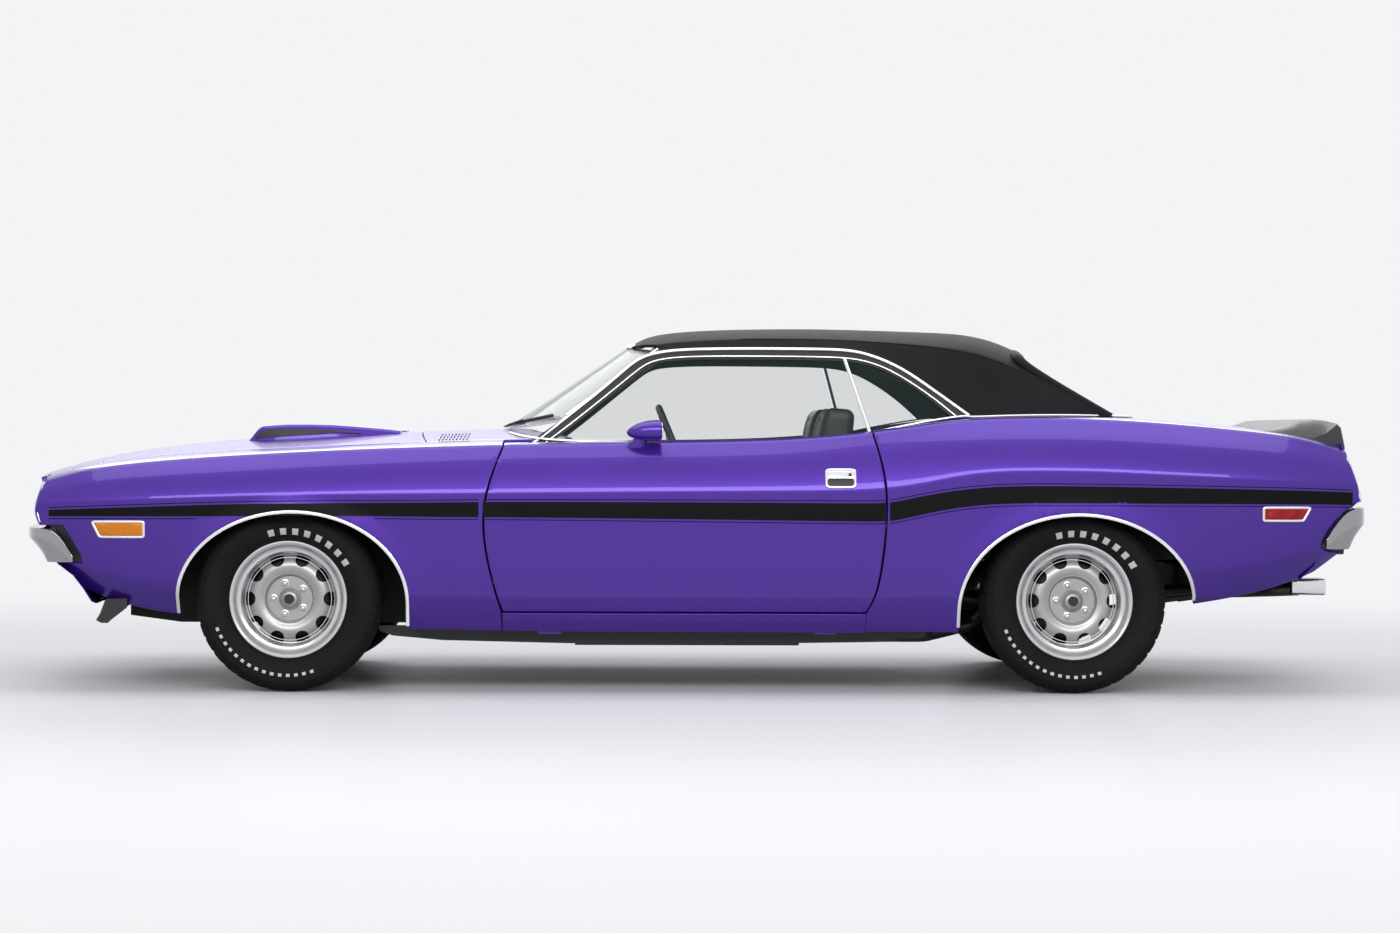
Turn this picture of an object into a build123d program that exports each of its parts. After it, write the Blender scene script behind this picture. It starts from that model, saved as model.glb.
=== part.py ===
from build123d import *
import os

# Two-door hardtop muscle car, in millimetres. The origin is on the ground at the middle of the
# car's length and width. -X is forward, -Y is the driver's left, +Z is up.

# ---- Driving dimensions -------------------------------------------------------------------
length = 4859
wheelbase = 2794
front_overhang = 984
roof_height = 1312
panel_gap = 6
fender_wall = 14
lid_wall = 24
side_wall = 40
roof_wall = 40
plate = 12
glass_thickness = 5
glass_inset = 9
seat_gap = 0.3
pin_gap = 1.0
tyre_radius = 328
tyre_width = 235
front_track = 1516
rear_track = 1542
rim_radius = 207
rim_half_width = 89
bead_radius = 190
rim_wall = 7
disc_inset = 70
hub_radius = 62
hole_circle = 141
hole_radius = 17
hole_count = 10
drum_radius = 127
spindle_radius = 18
running_clearance = 0.05
kingpin_y = 680
kingpin_radius = 9
eye_radius = 20
arm_z_low = 205
arm_z_high = 440
steer_inner_y = 452
wheelhouse_z = 700
floor_z = 225
trunk_floor_z = 470
door_inner_y = 785
door_bottom_z = 288
rocker_top_z = 280
marker_height = 5
headlamp_radius = 70
headlamp_y = (560, 725)
headlamp_z = 662
jack_pad_x = (-520, 460)
jack_pad_z = 208
plate_hole_spacing = 177.8
plate_hole_radius = 3.5

nose_x = -length / 2
tail_x = length / 2
front_x = nose_x + front_overhang
rear_x = front_x + wheelbase
wheel_z = tyre_radius
front_wheel_y = front_track / 2
rear_wheel_y = rear_track / 2

# ---- Body lines ---------------------------------------------------------------------------
# x, centre_z, edge_y, edge_z, ridge_y, ridge_z, half_width, crease_z, sill_z
BODY_LINES = [
    (-2420, 765, 690, 735, 800, 712, 850, 665, 520),
    (-2310, 800, 705, 762, 812, 741, 868, 668, 490),
    (-2190, 830, 715, 794, 822, 776, 886, 674, 398),
    (-2138, 842, 717, 803, 825, 785, 893, 677, 317),
    (-2060, 858, 720, 815, 830, 799, 903, 680, 310),
    (-1830, 889, 722, 838, 840, 822, 925, 688, 279),
    (-1445, 915, 722, 862, 848, 848, 940, 700, 240),
    (-1000, 928, 722, 880, 852, 866, 944, 706, 228),
    (-690, 942, 722, 890, 852, 874, 945, 709, 220),
    (-300, 894, 800, 888, 850, 880, 945, 714, 218),
    (300, 898, 800, 892, 850, 884, 946, 720, 217),
    (640, 934, 795, 930, 845, 922, 950, 722, 217),
    (820, 962, 790, 958, 845, 950, 956, 752, 217),
    (960, 985, 785, 980, 845, 975, 962, 788, 219),
    (1350, 990, 760, 984, 848, 977, 966, 795, 260),
    (1560, 996, 745, 982, 845, 974, 962, 787, 295),
    (1750, 983, 735, 962, 842, 954, 955, 778, 318),
    (2000, 961, 725, 942, 835, 934, 938, 768, 360),
    (2200, 940, 715, 920, 825, 906, 912, 757, 430),
    (2300, 915, 705, 890, 815, 864, 892, 750, 500),
    (2400, 880, 700, 850, 800, 830, 870, 742, 570),
]
# share of the height from crease to sill, inset from the half width
SIDE_STEPS = [(0.2, 5), (0.5, 10), (0.77, 30), (0.92, 62), (1.0, 88)]

# z, front_centre_x, front_side_x, front_side_y, middle_y, rear_side_x, rear_side_y, rear_centre_x
CABIN_LINES = [
    (860, -820, -630, 770, 824, 1690, 645, 1900),
    (985, -632, -455, 715, 752, 1484, 610, 1675),
    (1090, -480, -325, 665, 690, 1285, 585, 1477),
    (1220, -294, -175, 590, 607, 979, 545, 1240),
    (1330, -135, -50, 525, 535, 720, 505, 1020),
]
cabin_middle_x = 450
# x, drop of the roof's centre line below the roof height
ROOF_LINE = [
    (-900, 420),
    (-420, 170),
    (-199, 41),
    (-126, 19),
    (43, 4),
    (408, 0),
    (773, 4),
    (991, 14),
    (1082, 30),
    (1240, 77),
    (1950, 440),
]
# y, drop of the roof below its centre line
ROOF_CROWN = [(0, 0), (250, 12), (450, 42), (600, 88), (800, 180)]

# ---- Panel lines --------------------------------------------------------------------------
# Side outlines hold (x, z) and plan outlines hold (x, y) on the right-hand side.
DOOR_FRONT = [(-686, 1100), (-686, 873), (-764, 671), (-742, 468), (-686, 283), (-686, 100)]
DOOR_REAR = [(600, 100), (600, 283), (642, 349), (669, 541), (674, 676), (663, 800), (630, 917), (630, 1100)]
SIDE_WINDOWS = [
    (-575, 850),
    (-416, 972),
    (-199, 1145),
    (-145, 1180),
    (17, 1191),
    (540, 1190),
    (640, 1175),
    (705, 1147),
    (830, 1066),
    (925, 988),
    (925, 850),
]
DIVIDER = [(640, 850), (534, 1200)]
WINDSCREEN = [(735, 860), (560, 1240)]
REAR_WINDOW = [(575, 940), (520, 1090), (455, 1205)]
NOSE_FRONT = [(-2385, 0), (-2370, 400), (-2338, 740), (-2320, 870)]
HOOD_FRONT = [(-2280, 0), (-2262, 400), (-2232, 715)]
HOOD_REAR = [(-1020, 0), (-1005, 350), (-980, 600), (-968, 719)]
TAIL_PROFILE = [(2336, 870), (2326, 844), (2366, 691), (2309, 663), (2230, 544), (2236, 500)]
BUMPER_NOTCH = [(nose_x, 590), (-2246, 590), (-2192, 482), (-2190, 448), (nose_x, 448)]
decklid_front_x = 1700
deck_panel_front_x = 1484
deck_panel_y = 700
front_arch = (front_x + 29, 322, 404, 307)
rear_arch = (rear_x - 10, 300, 405, 318)


def between(rows, key):
    """The columns of a table at key, in a straight line between its rows."""
    for low, high in zip(rows, rows[1:]):
        if key <= high[0]:
            share = (key - low[0]) / (high[0] - low[0])
            return [a + (b - a) * share for a, b in zip(low, high)]
    return list(rows[-1])


def flat_face(plane, outline):
    """A flat face with straight sides on a plane."""
    with BuildLine(plane) as border:
        Polyline(outline, close=True)
    return Face(border.wires()[0])


def inset_line(points, wall):
    """An open line moved to its right by wall, with mitred corners."""
    directions = [(Vector(*b) - Vector(*a)).normalized() for a, b in zip(points, points[1:])]
    moved = []
    for i, point in enumerate(points):
        before = directions[max(i - 1, 0)]
        after = directions[min(i, len(directions) - 1)]
        middle = (before + after).normalized()
        reach = wall / max(middle.dot(after), 0.4)
        moved.append((point[0] + middle.Y * reach, point[1] - middle.X * reach))
    return moved


def body_half(x, wall):
    """Half of the body's cross-section at x, from the centre of the top to the sill, as (y, z)."""
    _, centre_z, edge_y, edge_z, ridge_y, ridge_z, half_width, crease_z, sill_z = between(
        BODY_LINES, x
    )
    half = [
        (0, centre_z),
        (edge_y / 2, centre_z - (centre_z - edge_z) * 0.25),
        (edge_y, edge_z),
        (ridge_y, ridge_z),
        (ridge_y + (half_width - ridge_y) * 0.66, crease_z + (ridge_z - crease_z) * 0.55),
        (half_width, crease_z),
    ]
    half += [(half_width - step, crease_z - (crease_z - sill_z) * share) for share, step in SIDE_STEPS]
    if wall:
        half = inset_line(half, wall)
        half[0] = (0, half[0][1])
        half.append((half[-1][0], sill_z - 60))
    return half


def body_block(x_from, x_to, wall=0, mode=Mode.ADD):
    """The body's outer form from x_from to x_to, or that form inside a wall and open below."""
    stops = [x_from] + [row[0] for row in BODY_LINES if x_from < row[0] < x_to] + [x_to]
    sections = []
    for x in stops:
        half = body_half(x, wall)
        outline = half + [(-y, z) for y, z in reversed(half[1:])]
        sections.append(flat_face(Plane.YZ.offset(x), outline))
    loft(sections, ruled=True, mode=mode)


def body_shell(x_from, x_to, wall):
    """The body's skin of that wall, open at both ends and below."""
    body_block(x_from, x_to)
    body_block(x_from - 1, x_to + 1, wall, Mode.SUBTRACT)


def cabin_block(wall=0, mode=Mode.ADD, bottom=880):
    """The cabin's outer form above the belt, or that form inside a wall."""
    sections = []
    for row in CABIN_LINES:
        z, front_x_, side_x, side_y, middle_y, rear_side_x, rear_side_y, rear_x_ = row
        half = [
            (front_x_, 0),
            (front_x_ + (side_x - front_x_) * 0.27, side_y * 0.55),
            (side_x, side_y),
            (cabin_middle_x, middle_y),
            (rear_side_x, rear_side_y),
            (rear_side_x + (rear_x_ - rear_side_x) * 0.75, rear_side_y * 0.55),
            (rear_x_, 0),
        ]
        if wall:
            half = inset_line(half, wall)
            half[0] = (half[0][0], 0)
            half[-1] = (half[-1][0], 0)
        outline = half + [(x, -y) for x, y in reversed(half[1:-1])]
        sections.append(flat_face(Plane.XY.offset(z), outline))
    loft(sections, ruled=True, mode=mode)


def roof_crown(wall=0):
    """Keeps what lies below the roof's crowned top."""
    sections = []
    for x, drop in ROOF_LINE:
        half = [(y, roof_height - drop - fall - wall) for y, fall in ROOF_CROWN]
        half.append((half[-1][0], 400))
        outline = half + [(-y, z) for y, z in reversed(half[1:])]
        sections.append(flat_face(Plane.YZ.offset(x), outline))
    loft(sections, ruled=True, mode=Mode.INTERSECT)


def cabin_form(wall):
    """The cabin's form inside a wall, as a solid to add or take away."""
    with BuildPart(mode=Mode.PRIVATE) as form:
        cabin_block(wall)
        roof_crown(wall)
    return form.part


def side_cut(outline, y_from, y_to, mode=Mode.SUBTRACT):
    """Cuts or keeps what lies inside a side outline (x, z) between y_from and y_to."""
    extrude(flat_face(Plane.XZ.offset(-y_from), outline), y_to - y_from, (0, 1, 0), mode=mode)


def plan_cut(outline, z_from, z_to, mode=Mode.SUBTRACT):
    """Cuts or keeps what lies inside a plan outline (x, y) between z_from and z_to."""
    extrude(flat_face(Plane.XY.offset(z_from), outline), z_to - z_from, (0, 0, 1), mode=mode)


def block(x_from, x_to, y_from, y_to, z_from, z_to, mode=Mode.ADD):
    """A block between six planes."""
    with Locations(((x_from + x_to) / 2, (y_from + y_to) / 2, (z_from + z_to) / 2)):
        Box(abs(x_to - x_from), abs(y_to - y_from), abs(z_to - z_from), mode=mode)


def cross_cylinder(x, z, radius, y_from, y_to, mode=Mode.ADD):
    """A cylinder that lies along Y."""
    with Locations(Location((x, (y_from + y_to) / 2, z), (90, 0, 0))):
        Cylinder(radius, abs(y_to - y_from), mode=mode)


def arch_cut(arch, y_from, y_to):
    """Cuts a wheel arch: the upper half of an ellipse, open below."""
    x, z, half_width, height = arch
    with BuildSketch(Plane.XZ.offset(-y_from)) as opening:
        with Locations((x, z)):
            Ellipse(half_width, height)
        with Locations((x, z - 200)):
            Rectangle(half_width * 2, 400)
    extrude(opening.sketch, amount=-(y_to - y_from), mode=Mode.SUBTRACT)


def moved(points, dx):
    """A line of points moved along its first axis."""
    return [(a + dx, b) for a, b in points]


def top_edge_line(x_from, x_to, dy):
    """The plan line (x, y) where the hood or decklid meets the side panels, moved out by dy."""
    stops = [x_from] + [row[0] for row in BODY_LINES if x_from < row[0] < x_to] + [x_to]
    return [(x, between(BODY_LINES, x)[2] + dy) for x in stops]


def mirrored(half):
    """A plan outline (x, y) from its right-hand half."""
    return half + [(x, -y) for x, y in reversed(half) if y]


def keep_left(inner_line, x_from, x_to):
    """Keeps what lies on the left of the car, outside a plan line."""
    line = [(x, -y) for x, y in inner_line]
    plan_cut(line + [(x_to, -1300), (x_from, -1300)], 0, 1400, Mode.INTERSECT)


def seat_on_body(x_from, x_to):
    """Cuts away what lies inside the body's outer form, or closer to its top than a seat gap."""
    with BuildPart(mode=Mode.PRIVATE) as lower:
        body_block(x_from, x_to)
    add(lower.part.moved(Location((0, 0, seat_gap))), mode=Mode.SUBTRACT)


def front_cut(setback):
    """Cuts away what lies ahead of the nose line."""
    line = moved(NOSE_FRONT, setback)
    plan_cut(mirrored([(-2700, 0), (-2700, 1000), (line[-1][0], 1000)] + line[::-1]), 0, 1200)


def tail_cut(setback, y_from=-1100, y_to=1100):
    """Cuts away what lies behind the tail's profile."""
    line = moved(TAIL_PROFILE, -setback)
    side_cut(line + [(2236 - setback, -100), (2700, -100), (2700, 870)], y_from, y_to)


def save(piece, name):
    """Labels a piece and writes its file."""
    piece.part.label = name
    export_step(piece.part, f"parts/{name}.step")


def save_pair(left, name):
    """Writes a left-hand piece and its mirror image."""
    save(left, f"{name}_left")
    with BuildPart() as right:
        mirror(left.part, about=Plane.XZ)
    save(right, f"{name}_right")


os.makedirs("parts", exist_ok=True)
firewall_x = -752
inner_floor_x = -760
rear_floor_x = 800
front_member_x = -2120
trunk_rear_x = 2158
house_x = (925, 1752)

# ---- Body shell ---------------------------------------------------------------------------
# Front fender: the skin from the nose to the door, outside the hood's side edge, with a closed
# end beside the headlamp.
with BuildPart() as fender:
    body_shell(nose_x, -640, fender_wall)
    with BuildPart(mode=Mode.PRIVATE) as cap:
        body_block(-2345, -2262)
        block(-2500, -2000, -headlamp_y[1] - headlamp_radius - 20, 1000, 0, 1200, Mode.SUBTRACT)
    add(cap.part)
    keep_left(top_edge_line(nose_x, -600, panel_gap / 2), nose_x, -600)
    front_cut(0)
    side_cut(BUMPER_NOTCH, -1100, 0)
    side_cut(moved(DOOR_FRONT, -panel_gap / 2) + [(0, 100), (0, 1100)], -1100, 0)
    arch_cut(front_arch, -1100, 0)
save_pair(fender, "fender")

# Quarter panel: the skin from the door to the tail, with the shoulder outside the cabin, and
# the lock pillar behind the door.
cabin_line = [(500, 742), (640, 730), (925, 650), (deck_panel_front_x, 575)]
deck_line = [(deck_panel_front_x, deck_panel_y), (decklid_front_x - panel_gap / 2, deck_panel_y)]
with BuildPart() as quarter:
    body_shell(500, tail_x, side_wall)
    keep_left(cabin_line + deck_line + top_edge_line(deck_line[-1][0], tail_x, panel_gap / 2), 500, tail_x)
    side_cut(moved(DOOR_REAR, panel_gap / 2) + [(0, 1100), (0, 100)], -1100, 0)
    arch_cut(rear_arch, -1100, 0)
    tail_cut(0)
    with BuildPart(mode=Mode.PRIVATE) as pillar:
        body_block(700, 760)
        block(600, 900, -door_inner_y, 1000, 0, 1200, Mode.SUBTRACT)
        block(600, 900, -1000, 0, 0, 240, Mode.SUBTRACT)
    add(pillar.part)
save_pair(quarter, "quarter_panel")

# Roof: the top with both windscreen pillars and both sail panels, one wall thick.
with BuildPart() as roof:
    add(cabin_form(0))
    add(cabin_form(roof_wall), mode=Mode.SUBTRACT)
    seat_on_body(-1000, 2000)
    side_cut(SIDE_WINDOWS, -1100, 1100)
    for outline, x_from, x_to in ((WINDSCREEN, -1000, 100), (REAR_WINDOW, 800, 2000)):
        window = [(y, z) for y, z in outline] + [(-y, z) for y, z in reversed(outline)]
        extrude(flat_face(Plane.YZ.offset(x_from), window), x_to - x_from, (1, 0, 0), mode=Mode.SUBTRACT)
save(roof, "roof")

# Cowl: the panel between the hood and the windscreen, on the firewall.
cowl_front = moved(HOOD_REAR, panel_gap)
with BuildPart() as cowl:
    body_shell(HOOD_REAR[0][0], -440, lid_wall)
    plan_cut(
        mirrored(cowl_front + [(-683, 719), (-683, 779), (-500, 779), (-440, 650), (-590, 350), (-640, 0)]),
        600,
        1200,
        Mode.INTERSECT,
    )
    block(firewall_x, firewall_x + plate, -700, 700, floor_z + plate + seat_gap, 850)
    block(firewall_x, -640, -700, 700, 850 - plate, 850)
    with BuildPart(mode=Mode.PRIVATE) as frame:
        body_block(-652, -640)
        block(-660, -630, -700, 700, 840, 1000, Mode.INTERSECT)
    add(frame.part)
    block(-900, -600, -133, 133, 0, 346, Mode.SUBTRACT)
save(cowl, "cowl_panel")

# Rear deck panel: from the rear window to the decklid, with the shelf behind the rear seat.
with BuildPart() as deck_panel:
    body_shell(1300, decklid_front_x - panel_gap / 2, lid_wall)
    y_deck = deck_panel_y - seat_gap
    plan_cut(
        mirrored([(deck_panel_front_x + 1, 0), (deck_panel_front_x + 1, y_deck), (1800, y_deck), (1800, 0)]),
        850,
        1200,
        Mode.INTERSECT,
    )
    block(1280, deck_panel_front_x + 40, -560, 560, 950, 950 + plate)
    block(deck_panel_front_x + 1, deck_panel_front_x + 25, -560, 560, 950, 975)
save(deck_panel, "rear_deck_panel")

# Nose: the header over the grille and the valance under the bumper.
with BuildPart() as nose:
    body_shell(nose_x, -2200, fender_wall)
    block(nose_x, -2200, -900, 900, 500, 1000, Mode.INTERSECT)
    header_side = top_edge_line(nose_x, HOOD_FRONT[-1][0] - panel_gap - 2, panel_gap / 2 - seat_gap)
    plan_cut(
        mirrored([(nose_x, 0)] + header_side + moved(HOOD_FRONT[:2], -panel_gap - 2)[::-1]),
        0,
        1200,
        Mode.INTERSECT,
    )
    front_cut(0)
    with BuildPart(mode=Mode.PRIVATE) as valance:
        side_cut([(-2268, 458), (-2146, 315), (-2126, 315), (-2248, 458)], -770, 770, Mode.ADD)
        block(-2268, -2160, -770, 770, 446, 458)
    add(valance.part)
save(nose, "nose_panel")

# Tail panel: the back wall between the quarter panels, with the licence plate's screw holes.
with BuildPart() as tail:
    outer_line = [(2332, 822)] + TAIL_PROFILE[2:]
    inner_line = [(2150, 400), (2128, 400), (2200, 545), (2275, 665), (2330, 691), (2296, 822)]
    side_cut(outer_line + inner_line, -900, 900, Mode.ADD)
    with BuildPart(mode=Mode.PRIVATE) as inside:
        body_block(2000, 2400, side_wall + seat_gap)
    add(inside.part, mode=Mode.INTERSECT)
    with BuildPart(mode=Mode.PRIVATE) as stops:
        for y in (-500, 500):
            with Locations((2310, y, 850)):
                Cylinder(12, 80)
    with BuildPart(mode=Mode.PRIVATE) as under_lid:
        body_block(2200, 2395, lid_wall + seat_gap)
        block(2200, 2395, -900, 900, 815, 1000, Mode.INTERSECT)
        add(stops.part, mode=Mode.INTERSECT)
    add(under_lid.part)
    for y in (-plate_hole_spacing / 2, plate_hole_spacing / 2):
        with Locations(Location((2330, y, 720), (0, 90, 0))):
            Cylinder(plate_hole_radius, 120, mode=Mode.SUBTRACT)
save(tail, "tail_panel")

# ---- Underbody ----------------------------------------------------------------------------
sill_inner_y = 770
tunnel_half_width = 132
tunnel_top_z = 345
rail_y = (400, 450)
rail_top_z = 331
front_house_x = (-1900, -980)
front_house_top_z = 705
inner_fender_top_z = 790
rear_house_y = rear_wheel_y - tyre_width / 2 - 30
stop_y = 500
stop_radius = 12
firewall_face_x = firewall_x - seat_gap
sill_x = (-683, 602.7)

# Cabin floor: a pressed pan with a tunnel for the drive shaft, and the step up to the trunk.
with BuildPart() as floor:
    block(inner_floor_x, rear_floor_x, -sill_inner_y, sill_inner_y, floor_z, floor_z + plate)
    block(rear_floor_x, rear_floor_x + plate, -1000, 1000, floor_z, trunk_floor_z)
    block(inner_floor_x, rear_floor_x, -tunnel_half_width, tunnel_half_width, floor_z, tunnel_top_z)
    with BuildPart(mode=Mode.PRIVATE) as inside:
        block(inner_floor_x, rear_floor_x, -1000, 1000, 0, 600)
        body_block(rear_floor_x - 40, rear_floor_x + plate, side_wall + seat_gap)
    add(inside.part, mode=Mode.INTERSECT)
    hollow_y = tunnel_half_width - plate
    block(inner_floor_x - 10, rear_floor_x + 20, -hollow_y, hollow_y, 0, tunnel_top_z - plate, Mode.SUBTRACT)
save(floor, "floor_pan")

# Sills: the closed box under each door, with a rubber stop along it and two jack pads.
with BuildPart() as sills:
    body_block(*sill_x)
    block(-800, 800, -1000, 1000, 0, rocker_top_z, Mode.INTERSECT)
    block(-800, 800, -sill_inner_y, sill_inner_y, 0, 400, Mode.SUBTRACT)
    for side in (-1, 1):
        stop_outer_y = side * (door_inner_y - seat_gap)
        block(-600, 560, side * sill_inner_y, stop_outer_y, rocker_top_z - 10, rocker_top_z + 22)
        for x in jack_pad_x:
            block(x - 40, x + 40, side * 790, side * 840, jack_pad_z, 240)
save(sills, "sills")

# Radiator support: the cross panel behind the grille, with two rubber stops for the hood.
with BuildPart() as support:
    block(front_member_x, front_member_x + 60, -1000, 1000, 330, 530)
    block(front_member_x, front_member_x + plate, -760, 760, 530, 770)
    with BuildPart(mode=Mode.PRIVATE) as inside:
        body_block(-2200, -2000, fender_wall + seat_gap)
    add(inside.part, mode=Mode.INTERSECT)
    with BuildPart(mode=Mode.PRIVATE) as stops:
        body_block(-2250, -2000, lid_wall + seat_gap)
        with BuildPart(mode=Mode.PRIVATE) as pins:
            for y in (-stop_y, stop_y):
                with Locations((front_member_x + 6, y, 820)):
                    Cylinder(stop_radius, 110)
        add(pins.part, mode=Mode.INTERSECT)
    add(stops.part)
save(support, "radiator_support")

# Inner fenders: the wall beside the engine with its frame rail, and the shell over the wheel.
with BuildPart() as inner_fender:
    support_rear_x = front_member_x + 60
    wall_y = -steer_inner_y
    block(support_rear_x, inner_floor_x, -rail_y[0], -rail_y[1], floor_z, rail_top_z)
    block(support_rear_x, firewall_face_x, wall_y, wall_y + plate, rail_top_z - 1, inner_fender_top_z)
    block(*front_house_x, wall_y, -1000, front_house_top_z, front_house_top_z + plate)
    block(front_house_x[0], front_house_x[0] + plate, wall_y, -1000, 330, front_house_top_z + plate)
    block(front_house_x[1] - plate, front_house_x[1], wall_y, -1000, 300, front_house_top_z + plate)
    with BuildPart(mode=Mode.PRIVATE) as inside:
        body_block(-2200, firewall_face_x, fender_wall + seat_gap)
    add(inside.part, mode=Mode.INTERSECT)
save_pair(inner_fender, "inner_fender")

# Trunk floor: the raised floor behind the cabin, with a box over each rear wheel.
with BuildPart() as trunk_floor:
    block(rear_floor_x, trunk_rear_x, -1000, 1000, trunk_floor_z, trunk_floor_z + plate)
    for side in (-1, 1):
        y_wall = side * (rear_house_y - plate)
        house_top_z = wheelhouse_z + plate
        block(house_x[0] - plate, house_x[1] + plate, y_wall, side * 1000, trunk_floor_z, house_top_z)
    with BuildPart(mode=Mode.PRIVATE) as inside:
        body_block(rear_floor_x - 40, 2300, side_wall + seat_gap)
    add(inside.part, mode=Mode.INTERSECT)
    for side in (-1, 1):
        block(*house_x, side * rear_house_y, side * 1000, 0, wheelhouse_z, Mode.SUBTRACT)
save(trunk_floor, "trunk_floor")

# ---- Lids ---------------------------------------------------------------------------------
# Hood: a panel hinged at its rear edge, with a scoop bonded to it.
with BuildPart() as hood:
    body_shell(-2300, -900, lid_wall)
    hood_side = top_edge_line(HOOD_FRONT[-1][0], HOOD_REAR[-1][0], -panel_gap / 2)
    plan_cut(mirrored(HOOD_FRONT[:2] + hood_side + HOOD_REAR[:3][::-1]), 600, 1200, Mode.INTERSECT)
save(hood, "hood")

# x, inner y, outer y, top z
SCOOP_LINES = [
    (-1645, 75, 285, 938),
    (-1560, 60, 300, 947),
    (-1423, 55, 305, 951),
    (-1281, 65, 295, 945),
    (-1090, 100, 262, 932),
]
scoop_lip = 9
scoop_mouth_x = -1560
with BuildPart() as scoop:
    for side in (-1, 1):
        sections = []
        for x, inner_y, outer_y, z in SCOOP_LINES:
            corners = [(inner_y, 850), (inner_y + 25, z), (outer_y - 25, z), (outer_y, 850)]
            sections.append(flat_face(Plane.YZ.offset(x), [(side * y, corner_z) for y, corner_z in corners]))
        loft(sections, ruled=True)
        mouth_y = (SCOOP_LINES[0][1] + 35, SCOOP_LINES[0][2] - 35)
        mouth_top_z = SCOOP_LINES[0][3] - scoop_lip
        block(nose_x, scoop_mouth_x, side * mouth_y[0], side * mouth_y[1], 850, mouth_top_z, Mode.SUBTRACT)
    seat_on_body(-2000, -800)
save(scoop, "hood_scoop")

# Decklid: hinged at its front edge, with a rear spoiler bolted to it.
lid_rear_x = 2334
with BuildPart() as decklid:
    body_shell(decklid_front_x - 50, 2390, lid_wall)
    lid_side = top_edge_line(decklid_front_x + panel_gap / 2, lid_rear_x, -panel_gap / 2)
    plan_cut(mirrored(lid_side), 600, 1200, Mode.INTERSECT)
save(decklid, "decklid")

with BuildPart() as spoiler:
    wing = [(2030, 942), (2128, 981), (2205, 983), (2358, 962), (2369, 922), (2352, 905), (2250, 930)]
    wing += [(2120, 940)]
    side_cut(wing, -560, 560, Mode.ADD)
    for side in (-1, 1):
        sections = []
        for y, shrink in ((560, 0), (700, 0.25)):
            outline = [(x, z - (z - 900) * shrink) for x, z in wing]
            sections.append(flat_face(Plane.XZ.offset(-side * y), outline))
        loft(sections, ruled=True)
        block(2060, 2340, side * 520, side * 545, 830, 950)
    seat_on_body(1900, 2395)
save(spoiler, "rear_spoiler")

# ---- Glass --------------------------------------------------------------------------------
def pane(outline_plane, outlines, depth, direction, outer, inner):
    """Panes of the cabin's curved glass, cut to outlines on a plane."""
    with BuildPart(mode=Mode.PRIVATE) as panes:
        for outline in outlines:
            extrude(flat_face(outline_plane, outline), depth, direction)
        add(cabin_form(outer), mode=Mode.INTERSECT)
        add(cabin_form(inner), mode=Mode.SUBTRACT)
        seat_on_body(-1000, 2000)
    return panes.part


glass_inner = glass_inset + glass_thickness
with BuildPart() as glass:
    for outline, x_from in ((WINDSCREEN, -1000), (REAR_WINDOW, 820)):
        window = [(y - seat_gap, z) for y, z in outline[:-1]]
        window.append((outline[-1][0] - seat_gap, outline[-1][1] - seat_gap))
        window += [(-y, z) for y, z in reversed(window)]
        add(pane(Plane.YZ.offset(x_from), [window], 1100, (1, 0, 0), glass_inset, glass_inner))
    quarter_window = [
        (DIVIDER[0][0] + 2, 850),
        (DIVIDER[1][0] + 2 + 4, 1189),
        (639, 1174.5),
        (704.5, 1146.5),
        (829.5, 1065.5),
        (924.5, 988),
        (924.5, 850),
    ]
    add(pane(Plane.XZ.offset(1100), [quarter_window], 2200, (0, 1, 0), glass_inset, glass_inner))
save(glass, "fixed_glass")

# Door glass: frameless, raised, a clear gap inside the roof's edge.
with BuildPart() as door_glass:
    door_window = [
        (-560 + 8, 850),
        (-416 + 8, 972 - 4),
        (-199 + 5, 1145 - 6),
        (-145 + 2, 1180 - 6),
        (17, 1191 - 6),
        (DIVIDER[1][0] - 6 + 4, 1190 - 6),
        (DIVIDER[0][0] - 6, 850),
    ]
    add(pane(Plane.XZ.offset(1100), [door_window], 1100, (0, 1, 0), glass_inset, glass_inner))
save_pair(door_glass, "door_glass")

# ---- Doors --------------------------------------------------------------------------------
# Door: the outer skin on a deep inner box, which stays clear of the pillar as it swings.
half_gap = panel_gap / 2
door_skin_y = 905
with BuildPart() as door:
    body_block(-800, 700)
    block(-900, 900, -1000, -door_inner_y, door_bottom_z, 1200, Mode.INTERSECT)
    front_line = moved(DOOR_FRONT, half_gap)
    rear_line = moved(DOOR_REAR, -half_gap)
    side_cut(front_line + rear_line[1:], -1100, -700, Mode.INTERSECT)
    inner_rear = moved(DOOR_REAR, -half_gap - 18)
    side_cut(inner_rear + [(900, 1100), (900, 100)], -door_skin_y, -700)
save_pair(door, "door")

# Door mirror: a bullet-shaped housing on a foot at the front of the door's window sill.
with BuildPart() as mirror_housing:
    with BuildSketch(Plane.YZ.offset(-246)) as nose_ring:
        with Locations((-862, 915)):
            Circle(12)
    with BuildSketch(Plane.YZ.offset(-197)) as middle_ring:
        with Locations((-864, 930)):
            Circle(36)
    with BuildSketch(Plane.YZ.offset(-128)) as glass_ring:
        with Locations((-866, 932)):
            Circle(42)
    loft([nose_ring.sketch, middle_ring.sketch, glass_ring.sketch])
    block(-220, -165, -858, -836, 868, 915)
    seat_on_body(-400, 0)
save_pair(mirror_housing, "mirror")

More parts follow.
